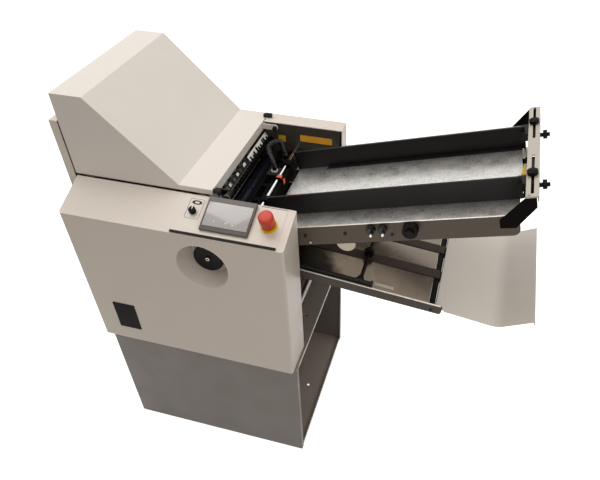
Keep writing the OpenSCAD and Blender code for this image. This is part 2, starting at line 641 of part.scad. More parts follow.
// ---- feeder between the side frames
module perforated_strip() {
  x0 = hood_x3 + 4; z0 = rear_top - hood_flange - 4; w = 20; n = 15; y0 = frame_y1; y1 = rear_y0; st = (y1-y0-30)/n;
  color("#d8d5d0") translate([x0, 0, z0]) rotate([0, 55, 0]) difference() {
    box([0, y0, -1.5], [w, y1, 0]);
    for (i = [0:n-1]) box([4, y0+15+i*st+4, -3], [w-4, y0+15+i*st+st-6, 2]);
  }
}
bridge_z0 = console_z - 90; bridge_z1 = bridge_z0 + 14;
module feeder_bridge() {
  xa = r_drum[0] - 19; xb = r_drum[0] + 11;
  color("#1d1b1a") {
    for (x = [xa, xb]) box([x, frame_y1, bridge_z0+2], [x+12, rear_y0, bridge_z1]);
    for (i = [0:4]) { y = frame_y1 + 40 + i*(frame_gap-96)/4; box([xa+11, y, bridge_z0+4], [xb+1, y+16, bridge_z1-2]); }
    // ribbed guide bar beside the deck
    c = [hood_x3+24, rear_top-54];
    ycyl(c, frame_y1, rear_y0, 5);
    for (i = [0:22]) ycyl(c, frame_y1+10+i*(frame_gap-28)/22, frame_y1+18+i*(frame_gap-28)/22, 7.5);
  }
}
module feed_rod() { color("#e8e8ea") ycyl([rod_x, rod_z], frame_y1, rear_y0, rod_d/2); }
tab_y = mid_y + 3;
module front_gate() {
  r = rod_d/2; z0 = table_z0 - 10;
  color("#171514") {
    box([rod_x+r+2, guide_n+12, z0], [rod_x+r+10, guide_f-8, rod_z-4]);
    for (y = [guide_n+14, guide_f-34]) difference() {
      box([rod_x-r-5, y, rod_z-r-5], [rod_x+r+10, y+22, rod_z+r+4]);
      ycyl([rod_x, rod_z], y-e, y+22+e, r);
    }
    // orange separator tongue on the rod
    difference() {
      box([rod_x-r-4, tab_y, rod_z-r-3], [rod_x+r+12, tab_y+12, rod_z+r+3]);
      ycyl([rod_x, rod_z], tab_y-e, tab_y+12+e, r);
    }
    box([rod_x+r+10.3, tab_y, rod_z-22], [rod_x+r+12, tab_y+12, rod_z]);
  }
}
head_y = mid_y + 32; head_x = r_drum[0] + 8; head_w = 42;
port1 = [head_x+5, head_y+head_w/2, bridge_z1+20];
port2 = [rod_x-21, mid_y+136, rod_z-5];
module suction_head() {
  color("#2b2927") {
    box([head_x-14, head_y, bridge_z1], [head_x+22, head_y+head_w, bridge_z1+14]);
    translate([port1[0], port1[1], bridge_z1+13]) cylinder(d = 14, h = port1[2]-bridge_z1-13);
    difference() {
      union() {
        box([port2[0]-10, port2[1]-10, bridge_z1], [port2[0]+10, port2[1]+10, bridge_z1+6]);
        box([port2[0]+9, port2[1]-8, bridge_z1], [rod_x+rod_d/2+4, port2[1]+8, bridge_z1+6]);
        box([rod_x-rod_d/2-4, port2[1]-8, bridge_z1], [rod_x+rod_d/2+4, port2[1]+8, rod_z-0.5]);
      }
      ycyl([rod_x, rod_z], port2[1]-10, port2[1]+10, rod_d/2);
    }
    translate([port2[0], port2[1], bridge_z1+5]) cylinder(d = 14, h = port2[2]-bridge_z1-5);
  }
}
// hose route: rises from the suction head, loops over and comes down at the rod
hp = [[0,0,0],[0,0,17],[-6,6,28],[-20,22,38],[-31,46,44],[-26,72,46],[-8,90,40],[port2[0]-port1[0]-1,port2[1]-port1[1]-3,port2[2]-port1[2]+19],[port2[0]-port1[0],port2[1]-port1[1],port2[2]-port1[2]]];
function cr(a, b, c, d, t) = 0.5*((2*b) + (c-a)*t + (2*a-5*b+4*c-d)*t*t + (3*b-a-3*c+d)*t*t*t);
function pad(p) = concat([2*p[0]-p[1]], p, [2*p[len(p)-1]-p[len(p)-2]]);
function curve(p, n) = let (q = pad(p)) concat([for (i = [1:len(q)-3]) each [for (j = [0:n-1]) cr(q[i-1], q[i], q[i+1], q[i+2], j/n)]], [p[len(p)-1]]);
function cum(p, i = 0, s = 0, acc = [0]) = i >= len(p)-1 ? acc : cum(p, i+1, s+norm(p[i+1]-p[i]), concat(acc, [s+norm(p[i+1]-p[i])]));
function at_len(p, c, s, i = 0) = i >= len(p)-2 || c[i+1] >= s ? p[i] + (p[i+1]-p[i])*min(1, max(0, (s-c[i])/(c[i+1]-c[i]))) : at_len(p, c, s, i+1);
function unit(v) = v/norm(v);
module vacuum_hose() {
  fine = curve(hp, 12); cl = cum(fine); total = cl[len(cl)-1];
  pitch = 5; n = floor((total-2*hose_d*0.5)/pitch); s0 = (total - n*pitch)/2; k = 8;
  st = concat([0], [for (i = [0:n-1]) each [s0+i*pitch+0.6, s0+i*pitch+pitch*0.5]], [total]);
  ro = concat([hose_d/2-1.6], [for (i = [0:n-1]) each [hose_d/2-1.6, hose_d/2]], [hose_d/2-1.6]);
  m = len(st);
  ctr = [for (s = st) at_len(fine, cl, s)];
  tg = [for (i = [0:m-1]) i == 0 ? [0, 0, 1] : i == m-1 ? [0, 0, -1] : unit(at_len(fine, cl, min(total, st[i]+2)) - at_len(fine, cl, max(0, st[i]-2)))];
  // the loop stays near one upright plane, so its normal serves as a steady reference
  side = unit(cross([0, 0, 1], unit([-31, 46, 0])));
  nx = [for (i = [0:m-1]) unit(side - tg[i]*(side*tg[i]))];
  ny = [for (i = [0:m-1]) cross(tg[i], nx[i])];
  ring = function(i, r) [for (j = [0:k-1]) ctr[i] + nx[i]*r*cos(j*360/k) + ny[i]*r*sin(j*360/k)];
  pts = concat([for (i = [0:m-1]) each ring(i, ro[i])], [for (i = [0:m-1]) each ring(i, hose_d/2-3.2)]);
  o = m*k;
  faces = concat(
    [for (i = [0:m-2]) for (j = [0:k-1]) each [[i*k+j, (i+1)*k+j, (i+1)*k+(j+1)%k], [i*k+j, (i+1)*k+(j+1)%k, i*k+(j+1)%k]]],
    [for (i = [0:m-2]) for (j = [0:k-1]) each [[o+i*k+j, o+(i+1)*k+(j+1)%k, o+(i+1)*k+j], [o+i*k+j, o+i*k+(j+1)%k, o+(i+1)*k+(j+1)%k]]],
    [for (j = [0:k-1]) each [[j, (j+1)%k, o+(j+1)%k], [j, o+(j+1)%k, o+j]]],
    [for (j = [0:k-1]) each [[(m-1)*k+j, o+(m-1)*k+(j+1)%k, (m-1)*k+(j+1)%k], [(m-1)*k+j, o+(m-1)*k+j, o+(m-1)*k+(j+1)%k]]]);
  echo(hose_length = total, hose_ribs = n);
  color("#191818") translate([port1[0], port1[1], port1[2]]) polyhedron(points = pts, faces = faces, convexity = 10);
}

// ---- feed table
notch_u = (rear_cover_w + 4 - table_x0)/tc;
module table_sheet() {
  color("#a9a7a2") on_table() difference() {
    union() {
      box([0, near_y0+side_t, -2], [table_l, rear_y0-side_t, 0]);
      box([notch_u, near_y0+side_t, -2], [table_l, far_y1-side_t, 0]);
      box([table_l-e, guide_n+2, -2], [bar_u0+6, guide_f-2, 0]);
    }
    for (u = [289, 359, 437]) translate([u, near_y0+43, -3]) cylinder(d = 6, h = 4);
    box([-e, guide_n+6, -3], [14, guide_f-2, e]);
  }
}
module table_near_plate() {
  h = table_side_h; u0 = 30; r = 18;
  color("#5c5040") on_table() {
    along_y(near_y0, near_y0+side_t) difference() {
      union() {
        polygon(concat([[u0, 0], [u0, -h]], arc([table_l-r, -h+r], r, -90, 0, 6), [[table_l, 0]]));
        translate([table_l*0.343, -h]) circle(r = lug_r);
      }
      for (p = screw_pts) translate(p) circle(d = 5);
      translate([knob_u, knob_h]) circle(d = 10);
      for (u = valve_u) translate([u, valve_h]) circle(d = 8);
    }
    along_y(near_y0-1, near_y0) difference() {
      polygon([[291, -44], [368, -46], [368, -2], [291, -3]]);
      for (u = valve_u) translate([u, valve_h]) circle(d = 8);
      translate(screw_pts[3]) circle(d = 5);
    }
    for (u = [50, 80]) ycyl([u, -40], frame_y1, near_y0+e/2, 7);
  }
}
screw_clear = 12.5;
screw_u = (cover_w + screw_clear - table_x0)/tc;
screw_pts = [[screw_u, -28], [screw_u + 9, -50], [screw_u + 113, -28], [360, -38]];
knob_u = 412; knob_h = -20; valve_u = [309, 340]; valve_h = -17;
module table_far_plate() {
  h = table_side_h; r = 18;
  color("#5c5040") on_table() {
    along_y(far_y1-side_t, far_y1) polygon(concat([[notch_u, 0], [notch_u, -h]], arc([table_l-r, -h+r], r, -90, 0, 6), [[table_l, 0]]));
    box([notch_u, rear_y0-side_t, -h], [notch_u+side_t, far_y1, -2]);
    box([notch_u-84, rear_y0-side_t, -h], [notch_u+side_t, rear_y0, -2]);
  }
}
bar_y0 = near_y0 - 4; bar_y1 = far_y1 + 4;
slot_n = [bar_y0+16, mid_y-19]; slot_f = [mid_y+69, bar_y1-6];
star_slot_n = [star_n-guide_out-6, star_n+guide_in+6]; star_slot_f = [star_f-guide_in-6, star_f+guide_out+6];
module table_crossbar() {
  u0 = bar_u0; u1 = bar_u0 + bar_w; um = u0 + bar_w/2; h1 = bar_h;
  color("#b9b0a4") on_table() difference() {
    union() {
      box([u0, bar_y0, h1-bar_t], [u1, bar_y1, h1]);
      box([u1-3, bar_y0+14, h1-24], [u1, bar_y1-14, h1]);
    }
    for (s = [slot_n, slot_f]) {
      box([um-slot_w/2, s[0], h1-bar_t-e], [um+slot_w/2, s[1], h1+e]);
      for (y = s) translate([um, y, h1-bar_t-e]) cylinder(d = slot_w, h = bar_t+2*e);
    }
    for (s = [star_slot_n, star_slot_f]) box([u1-3-e, s[0], h1-16-slot_w/2], [u1+e, s[1], h1-16+slot_w/2]);
  }
}
module crossbar_brackets() {
  u0 = bar_u0; u1 = bar_u0 + bar_w;
  color("#141211") on_table() for (y = [near_y0-4, far_y1]) {
    along_y(y, y+4) polygon([[table_l-45, -12], [table_l-45, -34], [table_l-9, -35], [u1-4, 19], [u1-4, bar_h-bar_t], [u0, bar_h-bar_t]]);
    translate([u0+1, y == near_y0-4 ? y : y-10, bar_h-bar_t-3]) cube([bar_w-5, 14, 3]);
  }
}
module table_screws() {
  color("#8d8a86") on_table() {
    for (p = screw_pts) { ycyl(p, near_y0-3.5, near_y0-(p == screw_pts[3] ? 1 : 0), 3.6); ycyl(p, near_y0-2, near_y0+side_t+2, 2.5); }
    for (y = [bar_y0+6]) translate([bar_u0+bar_w/2-6, y, bar_h]) cylinder(d = 6, h = 2.5);
  }
}
// side guide: web, top lip, inner foot and the shoe under the crossbar
module guide(yw, inner, yc, ys) {
  // yw is the inner face, inner is +1 where the paper side is towards +y
  y0 = inner > 0 ? yw-guide_t : yw; y1 = y0 + guide_t; um = bar_u0 + bar_w/2; hs = bar_h - bar_t - gap;
  f0 = inner > 0 ? y1-0.5 : y0-16; f1 = inner > 0 ? y1+16 : y0+0.5;
  l0 = inner > 0 ? y0 : y0-3; l1 = inner > 0 ? y1+3 : y1;
  on_table() difference() {
    union() {
      box([10, y0, gap], [guide_u1, y1, guide_h]);
      box([10, l0, guide_h-2.5], [guide_u1, l1, guide_h]);
      box([110, f0, gap], [guide_u1, f1, gap+2]);
      box([guide_u1-10, min(y0, yc-8), hs-12], [bar_u0+bar_w-4, max(y1, yc+8), hs]);
      box([guide_u1-10, min(y0, ys-7), hs-22], [bar_u0+bar_w-4, max(y1, ys+7), hs]);
      if (inner > 0) box([um-8, y0, hs-3], [um+8, y1+glide_reach, hs]);
    }
    translate([um, yc, hs-20]) cylinder(d = 6+2*fit, h = 30);
    translate([guide_u1-2, ys, bar_h-16]) rotate([0, 90, 0]) cylinder(d = 5+2*fit, h = 60);
  }
}
module near_guide() { color("#1f1a17") guide(guide_n, 1, clamp_n, star_n); }
module far_guide() { color("#1f1a17") guide(guide_f, -1, clamp_f, star_f); }
module clamp_knob(yc) {
  color("#211c1a") on_table() translate([bar_u0+bar_w/2, yc, bar_h]) {
    translate([0, 0, gap]) cylinder(d = 14, h = 3);
    translate([0, 0, 3]) linear_extrude(9) polygon([for (a = [0:15:345]) [9.5*cos(a)*(1+0.06*cos(6*a)), 12.5*sin(a)]]);
    translate([0, 0, -bar_t-gap-11]) cylinder(d = 6, h = 20);
  }
}
module near_clamp_knob() { clamp_knob(clamp_n); }
module far_clamp_knob() { clamp_knob(clamp_f); }
module star_knob(ys) {
  color("#131516") on_table() translate([bar_u0+bar_w, ys, bar_h-16]) rotate([0, 90, 0]) {
    translate([0, 0, gap]) cylinder(d = 11, h = 7);
    translate([0, 0, 7]) linear_extrude(10) polygon([for (a = [0:10:350]) (10+2.2*cos(5*a))*[cos(a), sin(a)]]);
    translate([0, 0, -(bar_u0+bar_w-guide_u1)+gap]) cylinder(d = 5, h = bar_u0+bar_w-guide_u1+4);
  }
}
module near_star_knob() { star_knob(star_n); }
module far_star_knob() { star_knob(star_f); }
module air_valve(u) {
  color("#1a1818") on_table() {
    ycyl([u, valve_h], near_y0-11, near_y0-1-gap, valve_d/2);
    ycyl([u, valve_h], near_y0-14, near_y0-10, valve_d/2-3);
    ycyl([u, valve_h], near_y0-2, near_y0+side_t+3, 4-fit);
    ycyl([u, valve_h], near_y0+side_t+gap, near_y0+side_t+5, 6);
    ycyl([u+4, valve_h-2], near_y0-24, near_y0-13, 4.5);
  }
}
module left_air_valve() { air_valve(valve_u[0]); }
module right_air_valve() { air_valve(valve_u[1]); }
module table_knob() {
  color("#171615") on_table() {
    along_y(near_y0-22, near_y0-gap) translate([knob_u, knob_h]) polygon([for (i = [0:71]) (knob_d/2-(i%2)*0.9)*[cos(i*5), sin(i*5)]]);
    ycyl([knob_u, knob_h], near_y0-30, near_y0-21, knob_d*0.28);
    ycyl([knob_u, knob_h], near_y0-2, near_y0+side_t+4, 5-fit);
    ycyl([knob_u, knob_h], near_y0+side_t+gap, near_y0+side_t+6, 8);
  }
}

// ---- delivery under the table
module delivery_rails() {
  r = 8;
  color("#6b5f50") on_rail() {
    difference() {
      for (y = [rail_n0, rail_f1-rail_t]) along_y(y, y+rail_t) polygon(concat([[0, 0], [0, -rail_h]], arc([rail_l-r, -rail_h+r], r, -90, 0, 6), arc([rail_l-4, -4], 4, 0, 90, 3)));
      for (u = [drive_u, end_u]) ycyl([u, roll_h], rail_n0-e, rail_f1+e, 4+fit);
    }
    ycyl([trod_u, roll_h], rail_n0+rail_t-e, rail_f1-rail_t+e, 4);
    for (u = [110, 180]) { ycyl([u, -16], frame_y1, rail_n0+e, 7); ycyl([u, -16], rail_f1-e, rear_y0, 7); }
  }
}
module delivery_bed() {
  y0 = rail_n0 + rail_t; y1 = rail_f1 - rail_t; t = 1.2;
  color("#77716a") on_rail() difference() {
    union() {
      box([-14, y0, bed_top-t], [bed_u1, y1, bed_top]);
      for (s = [0, 1]) {
        ya = s == 0 ? y0 : y1-t; yb = s == 0 ? y0 : y1-10;
        box([100, ya, bed_top-t], [bed_u1-8, ya+t, 0]);
        box([100, yb, -t], [bed_u1-8, yb+10, 0]);
      }
    }
    for (y = belt_y) box([drive_u-belt_roller_r-6, y-belt_w/2-3, bed_top-t-e], [drive_u+belt_roller_r+6, y+belt_w/2+3, bed_top+e]);
  }
}
module delivery_belts() {
  color("#3a302a") on_rail() for (y = belt_y) along_y(y-belt_w/2, y+belt_w/2) difference() {
    polygon(track(drive_u, end_u, roll_h, belt_roller_r+gap+belt_t));
    polygon(track(drive_u, end_u, roll_h, belt_roller_r+gap));
  }
}
module belt_drive_roller() {
  c = [drive_u, roll_h];
  color("#4c4a48") on_rail() {
    for (y = belt_y) ycyl(c, y-belt_w/2-2, y+belt_w/2+2, belt_roller_r);
    ycyl(c, rail_n0-1.5, rear_y0+4, 4);
  }
}
module belt_end_roller() {
  c = [end_u, roll_h];
  color("#1d1a18") on_rail() {
    ycyl(c, rail_n0+rail_t+5, rail_f1-rail_t-3, belt_roller_r);
    ycyl(c, rail_n0-1.5, rail_f1+1, 4);
    ycyl(c, rail_n0+rail_t+gap, rail_n0+rail_t+5.5, 7);
  }
}
module press_carriage() {
  c = [press_u, press_h]; ya = arm_y0; yb = rail_f1 - rail_t - 4 - arm_w;
  color("#1a1817") on_rail() difference() {
    union() {
      for (y = [ya, yb]) { box([150, y, gap], [press_u+38, y+arm_w, 12]); box([press_u+32, y-1, gap], [press_u+38, y+arm_w+1, 16]); box([press_u-12, y, 11], [press_u+12, y+arm_w, 16]); }
      box([152, ya+arm_w-e, 4], [162, yb+e, 10]);
    }
    ycyl(c, ya-e, yb+arm_w+e, 4+fit);
  }
}
module press_shaft() {
  c = [press_u, press_h]; ya = arm_y0; yb = rail_f1 - rail_t - 4 - arm_w;
  color("#232120") on_rail() {
    ycyl(c, ya, yb+arm_w, 4);
    for (y = belt_y) ycyl(c, y-7, y+7, press_d/2);
    for (y = [ya+arm_w+gap, yb-gap-12]) along_y(y, y+12) translate(c) polygon([for (i = [0:47]) (9.5-(i%2)*0.7)*[cos(i*7.5), sin(i*7.5)]]);
  }
}
// tray: falling sheet, bend and rising lip, hooked over the rod between the rails
module tray_outline() {
  p = rail_pt(trod_u, roll_h); t = 2; x0 = p[0]-8; z0 = p[1]+5.9; x1 = x0+tray_fall_l; z1 = z0-25.4; x2 = x1+tray_lip_l; z2 = z1+46;
  a1 = atan2(z1-z0, x1-x0); a2 = atan2(z2-z1, x2-x1); r = 60; am = (a2-a1)/2; d = r*tan(am);
  q1 = [x1-d*cos(a1), z1-d*sin(a1)]; cc = [q1[0]-r*sin(a1), q1[1]+r*cos(a1)];
  polygon(concat([[x0, z0]], arc(cc, r, a1-90, a2-90, 10), [[x2, z2], [x2+1, z2-12], [x2+3, z2-12], [x2+2, z2+2]],
    [for (i = [10:-1:0]) [cc[0]+(r-t)*cos(a1-90+(a2-a1)*i/10), cc[1]+(r-t)*sin(a1-90+(a2-a1)*i/10)]], [[x0, z0+t]]));
}
module catch_tray() {
  p = rail_pt(trod_u, roll_h); r = 4 + gap; t = 2;
  color("#b0a69c") {
    difference() {
      along_y(rail_n0, rail_f1+27) tray_outline();
      // notches round the rails' ends
      box([p[0]-20, rail_n0-e, p[1]-20], [p[0]+15, rail_n0+rail_t+1, p[1]+30]);
      box([p[0]-20, rail_f1-rail_t-1, p[1]-20], [p[0]+15, rail_f1+27+e, p[1]+30]);
    }
    for (y = [mid_y-150, mid_y+120]) along_y(y, y+30) polygon(concat(arc(p, r, 200, 60, 12), [[p[0]+15.5, p[1]+4.5], [p[0]+15.5, p[1]+4.5+t]], arc(p, r+t, 60, 200, 12)));
  }
}

place() base_cabinet();
place() base_floor_plate();
place() base_shelf();
place() operator_side_frame();
place() rear_side_frame();
place() frame_tie_rods();
place() operator_side_cover();
place() rear_side_cover();
place() left_end_cover();
place() hood();
place() hood_pivots();
place() hood_buffers();
place() console_panel();
place() touch_panel();
place() estop_base();
place() estop_button();
place() speed_dial();
place() name_plate();
place() roller_bearings();
place() handwheel();
place() central_roller();
place() upper_roller();
place() left_roller();
place() lower_roller();
place() suction_drum();
place() drive_motor();
place() motor_pinion();
place() upper_fold_plate();
place() lower_fold_plate();
place() upper_fold_stop();
place() lower_fold_stop();
place() perforated_strip();
place() feeder_bridge();
place() feed_rod();
place() front_gate();
place() suction_head();
place() vacuum_hose();
place() table_sheet();
place() table_near_plate();
place() table_far_plate();
place() table_crossbar();
place() crossbar_brackets();
place() table_screws();
place() near_guide();
place() far_guide();
place() near_clamp_knob();
place() far_clamp_knob();
place() near_star_knob();
place() far_star_knob();
place() left_air_valve();
place() right_air_valve();
place() table_knob();
place() delivery_rails();
place() delivery_bed();
place() delivery_belts();
place() belt_drive_roller();
place() belt_end_roller();
place() press_carriage();
place() press_shaft();
place() catch_tray();
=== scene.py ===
"""Looks of a floor-standing paper folding machine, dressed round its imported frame.

Sizes are millimetres in the machine's corner frame: x from the operator cover's left end
towards the feed table, y away from the operator's face, z up from the floor.
"""
from __future__ import annotations

import json
import logging
import math
from contextlib import contextmanager
from dataclasses import dataclass
from enum import Enum
from typing import Callable, Iterator, Sequence, Union

import bpy
from mathutils import Matrix, Vector

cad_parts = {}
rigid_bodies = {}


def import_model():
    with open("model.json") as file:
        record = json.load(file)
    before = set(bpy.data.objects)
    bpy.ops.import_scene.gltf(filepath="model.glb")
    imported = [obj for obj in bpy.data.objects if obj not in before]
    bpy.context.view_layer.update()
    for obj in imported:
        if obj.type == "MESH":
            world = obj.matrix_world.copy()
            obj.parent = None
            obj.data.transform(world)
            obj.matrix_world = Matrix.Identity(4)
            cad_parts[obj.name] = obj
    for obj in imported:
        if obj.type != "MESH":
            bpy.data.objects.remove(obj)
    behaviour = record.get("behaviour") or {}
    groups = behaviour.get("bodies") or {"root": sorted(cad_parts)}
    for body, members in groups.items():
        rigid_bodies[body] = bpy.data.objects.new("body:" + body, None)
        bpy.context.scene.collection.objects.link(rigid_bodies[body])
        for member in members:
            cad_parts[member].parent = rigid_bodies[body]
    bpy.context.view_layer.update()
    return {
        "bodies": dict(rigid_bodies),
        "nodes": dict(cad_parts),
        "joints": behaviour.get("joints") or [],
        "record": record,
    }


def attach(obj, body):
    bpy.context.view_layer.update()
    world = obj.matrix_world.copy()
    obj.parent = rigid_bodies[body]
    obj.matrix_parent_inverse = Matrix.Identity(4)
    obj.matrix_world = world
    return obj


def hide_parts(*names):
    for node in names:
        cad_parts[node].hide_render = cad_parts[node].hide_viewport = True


Piece = bpy.types.Object
Tree = bpy.types.NodeTree
Socket = bpy.types.NodeSocket
Value = Union[float, Sequence[float], Socket]
Inputs = dict[Union[str, int], Value]
Point = tuple[float, float, float]
Spot = tuple[float, float]

LOG = logging.getLogger("folder")
MM = 0.001
MACHINE_BODY = "machine"
# Distance from the machine's corner to the centre of its floor plate
CORNER_TO_CENTRE = Vector((330.0, 297.0, 0.0))
X_AXIS, Y_AXIS, Z_AXIS = (1.0, 0.0, 0.0), (0.0, 1.0, 0.0), (0.0, 0.0, 1.0)


# ---- places


def packed(point: Sequence[float]) -> Vector:
    """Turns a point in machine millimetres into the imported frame's metres."""
    return (Vector(point) - CORNER_TO_CENTRE) * MM


def placed(x: Vector, y: Vector, z: Vector, spot: Vector) -> Matrix:
    """Makes a matrix from three axes and a place in metres."""
    return Matrix((*((x[i], y[i], z[i], spot[i]) for i in range(3)), (0.0, 0.0, 0.0, 1.0)))


@dataclass(frozen=True)
class Plane:
    """A flat working plane of the machine with its own axes, in millimetres."""

    origin: Point
    along: Point
    across: Point

    def matrix(self) -> Matrix:
        """Gives the plane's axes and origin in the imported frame, in metres."""
        u, v = Vector(self.along).normalized(), Vector(self.across).normalized()
        return placed(u, v, u.cross(v), packed(self.origin))

    def normal(self) -> Vector:
        """Gives the direction that points off the plane."""
        return self.matrix().to_3x3().col[2].copy()

    def at(self, u: float, v: float, n: float) -> Vector:
        """Gives a point of the plane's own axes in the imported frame."""
        return self.matrix() @ (Vector((u, v, n)) * MM)


def sloping(angle_deg: float, origin: Point) -> Plane:
    """Makes a plane that rises along x by an angle.

    Args:
        angle_deg: rise angle, negative where the plane falls towards +x.
        origin: the plane's start, in machine millimetres.

    Returns:
        The plane, with its second axis along y.
    """
    angle = math.radians(angle_deg)
    return Plane(origin, (math.cos(angle), 0.0, math.sin(angle)), Y_AXIS)


def leaning(angle: float, origin: Point) -> Plane:
    """Makes a plane that rises along y by an angle in radians, with its first axis along x."""
    return Plane(origin, X_AXIS, (0.0, math.cos(angle), math.sin(angle)))


# The console rises 47 mm over a depth of 116 mm, from this height above the floor
CONSOLE_FOOT = 969.0
CONSOLE_ANGLE = math.atan(47.0 / 116.0)
CONSOLE = leaning(CONSOLE_ANGLE, (0.0, 0.0, CONSOLE_FOOT))


def on_console(x: float, s: float, n: float, lean: float) -> Plane:
    """Makes a plane above the console that leans up at its far edge.

    Args:
        x: where it starts along the machine.
        s: where it starts up the slope.
        n: its height over the slope there.
        lean: how much steeper than the slope it is, in radians.

    Returns:
        The leaning plane.
    """
    c, w = math.cos(CONSOLE_ANGLE), math.sin(CONSOLE_ANGLE)
    return leaning(CONSOLE_ANGLE + lean, (x, s * c - n * w, CONSOLE_FOOT + s * w + n * c))


TABLE_X, TABLE_Z = 545.0, 929.4
TABLE = sloping(15.55, (TABLE_X, 0.0, TABLE_Z))
TABLE_UP = (-TABLE.along[2], 0.0, TABLE.along[0])
# The near side plate's outer face: along the table, then square to it, then towards the operator
NEAR_PLATE = Plane((TABLE_X, 120.0, TABLE_Z), TABLE.along, TABLE_UP)
# The face that the air valves and holes are set in, a millimetre nearer
VALVE_FACE = Plane((TABLE_X, 119.0, TABLE_Z), TABLE.along, TABLE_UP)
# Faces out of the table's outer end: along y, then up, then outwards
TABLE_END = Plane(TABLE.origin, Y_AXIS, TABLE_UP)
RAILS = sloping(-6.05, (440.0, 0.0, 828.5))
STRIP_FACE = sloping(-55.0, (418.0, 0.0, 1003.0))
LEVEL = Plane((0.0, 0.0, 0.0), X_AXIS, Y_AXIS)
# Upright planes that look along -y: the operator's face and the far wall's inner face
FRONT = Plane((0.0, 0.0, 0.0), X_AXIS, Z_AXIS)
FAR_WALL = Plane((0.0, 508.0, 0.0), X_AXIS, Z_AXIS)
# The hood's near ear, seen from the operator
EAR_FACE = Plane((456.0, 141.4, 1022.0), X_AXIS, Z_AXIS)


# ---- finishes


def linear(hex_colour: str) -> tuple[float, float, float, float]:
    """Turns an sRGB hex value into linear light.

    Args:
        hex_colour: six hex digits with a leading hash.

    Returns:
        Red, green, blue and full alpha for a shader socket.
    """
    def channel(start: int) -> float:
        """Gives one channel from its two digits."""
        c = int(hex_colour[start:start + 2], 16) / 255.0
        return c / 12.92 if c <= 0.04045 else ((c + 0.055) / 1.055) ** 2.4

    return channel(1), channel(3), channel(5), 1.0


def add(tree: Tree, kind: str, inputs: Inputs | None = None, **settings: object) -> bpy.types.Node:
    """Adds a node with its settings, values and links.

    Args:
        tree: the node tree it goes into.
        kind: Blender's name for the node type.
        inputs: a value or another node's output for each named or numbered socket.
        settings: the node's own properties.

    Returns:
        The new node.
    """
    node = tree.nodes.new(kind)
    for name, value in settings.items():
        setattr(node, name, value)
    for name, value in (inputs or {}).items():
        if isinstance(value, Socket):
            tree.links.new(value, node.inputs[name])
        else:
            node.inputs[name].default_value = value
    return node


def per_metre(size_mm: float) -> float:
    """Gives the texture scale at which one feature is as wide as a real size."""
    return 1.0 / (size_mm * MM)


# The mix node's two inputs and its output for each kind of data
MIX_SOCKETS = {"FLOAT": (2, 3, 0), "VECTOR": (4, 5, 1), "RGBA": (6, 7, 2)}


@dataclass(frozen=True)
class Skin:
    """A material's node tree with its shader and the object's own coordinates."""

    tree: Tree
    shader: bpy.types.Node
    place: Socket

    def value(self, kind: str, inputs: Inputs, output: Union[str, int] = 0, **settings: object) -> Socket:
        """Adds a node and gives one of its outputs."""
        return add(self.tree, kind, inputs, **settings).outputs[output]

    def mix(self, kind: str, share: Value, a: Value, b: Value, **settings: object) -> Socket:
        """Blends two values of one kind of data by a share."""
        first, second, result = MIX_SOCKETS[kind]
        return self.value("ShaderNodeMix", {0: share, first: a, second: b}, result, data_type=kind, **settings)

    def noise(self, size_mm: float, detail: float, place: Socket | None = None) -> Socket:
        """Gives a cloudy value from 0 to 1 whose features have a real size.

        Args:
            size_mm: width of one feature.
            detail: how many finer layers it has.
            place: other coordinates than the object's own.

        Returns:
            The value's socket.
        """
        return self.value("ShaderNodeTexNoise", {
            "Vector": self.place if place is None else place,
            "Scale": per_metre(size_mm), "Detail": detail, "Roughness": 0.55,
        }, "Fac")

    def feed(self, socket: str, value: Socket) -> None:
        """Links a value to one of the shader's sockets."""
        self.tree.links.new(value, self.shader.inputs[socket])


@dataclass(frozen=True)
class Finish:
    """What all finishes share: a base colour that varies, a sheen and a relief."""

    name: str
    colour: str
    roughness: float
    metallic: float = 0.0
    mottle: float = 0.03
    mottle_mm: float = 90.0
    relief_mm: float = 0.02
    grain_mm: float = 2.0
    coat: float = 0.0
    specular: float = 0.5

    def material(self) -> bpy.types.Material:
        """Makes the finish's material, once.

        Returns:
            The material.
        """
        known = bpy.data.materials.get(self.name)
        if known is not None:
            return known
        made = bpy.data.materials.new(self.name)
        made.use_nodes = True
        made.diffuse_color = linear(self.colour)
        tree = made.node_tree
        tree.nodes.clear()
        shader = add(tree, "ShaderNodeBsdfPrincipled", {
            "Roughness": self.roughness,
            "Metallic": self.metallic,
            "Specular IOR Level": self.specular,
            "Coat Weight": self.coat,
            "Coat Roughness": 0.15,
        })
        self.paint(Skin(tree, shader, add(tree, "ShaderNodeTexCoord").outputs["Object"]))
        add(tree, "ShaderNodeOutputMaterial", {"Surface": shader.outputs["BSDF"]})
        return made

    def paint(self, skin: Skin) -> None:
        """Feeds the shader's colour, roughness and relief."""
        cloud = skin.noise(self.mottle_mm, 3.0)
        self.vary(skin, cloud, self.mottle, cloud, 0.06, skin.noise(self.grain_mm, 2.0))

    def vary(
        self, skin: Skin, tone: Socket, spread: float, sheen: Socket, swing: float, height: Socket
    ) -> None:
        """Varies the colour and the roughness both ways and gives the surface a fine relief.

        Args:
            skin: the material's nodes.
            tone: value from 0 to 1 that the colour follows.
            spread: share by which the colour changes.
            sheen: value that the roughness follows.
            swing: how far the roughness changes.
            height: value that the relief follows.
        """
        r, g, b, a = linear(self.colour)
        dark, light = ((r * k, g * k, b * k, a) for k in (1 - 2.0 * spread, 1 + 2.0 * spread))
        skin.feed("Base Color", skin.mix("RGBA", tone, dark, light))
        skin.feed("Roughness", skin.value("ShaderNodeMapRange", {
            "Value": sheen, "From Min": 0.3, "From Max": 0.7,
            "To Min": max(0.02, self.roughness - swing), "To Max": self.roughness + swing,
        }, "Result"))
        skin.feed("Normal", skin.value("ShaderNodeBump", {
            "Height": height, "Strength": 1.0, "Distance": self.relief_mm * MM,
        }, "Normal"))


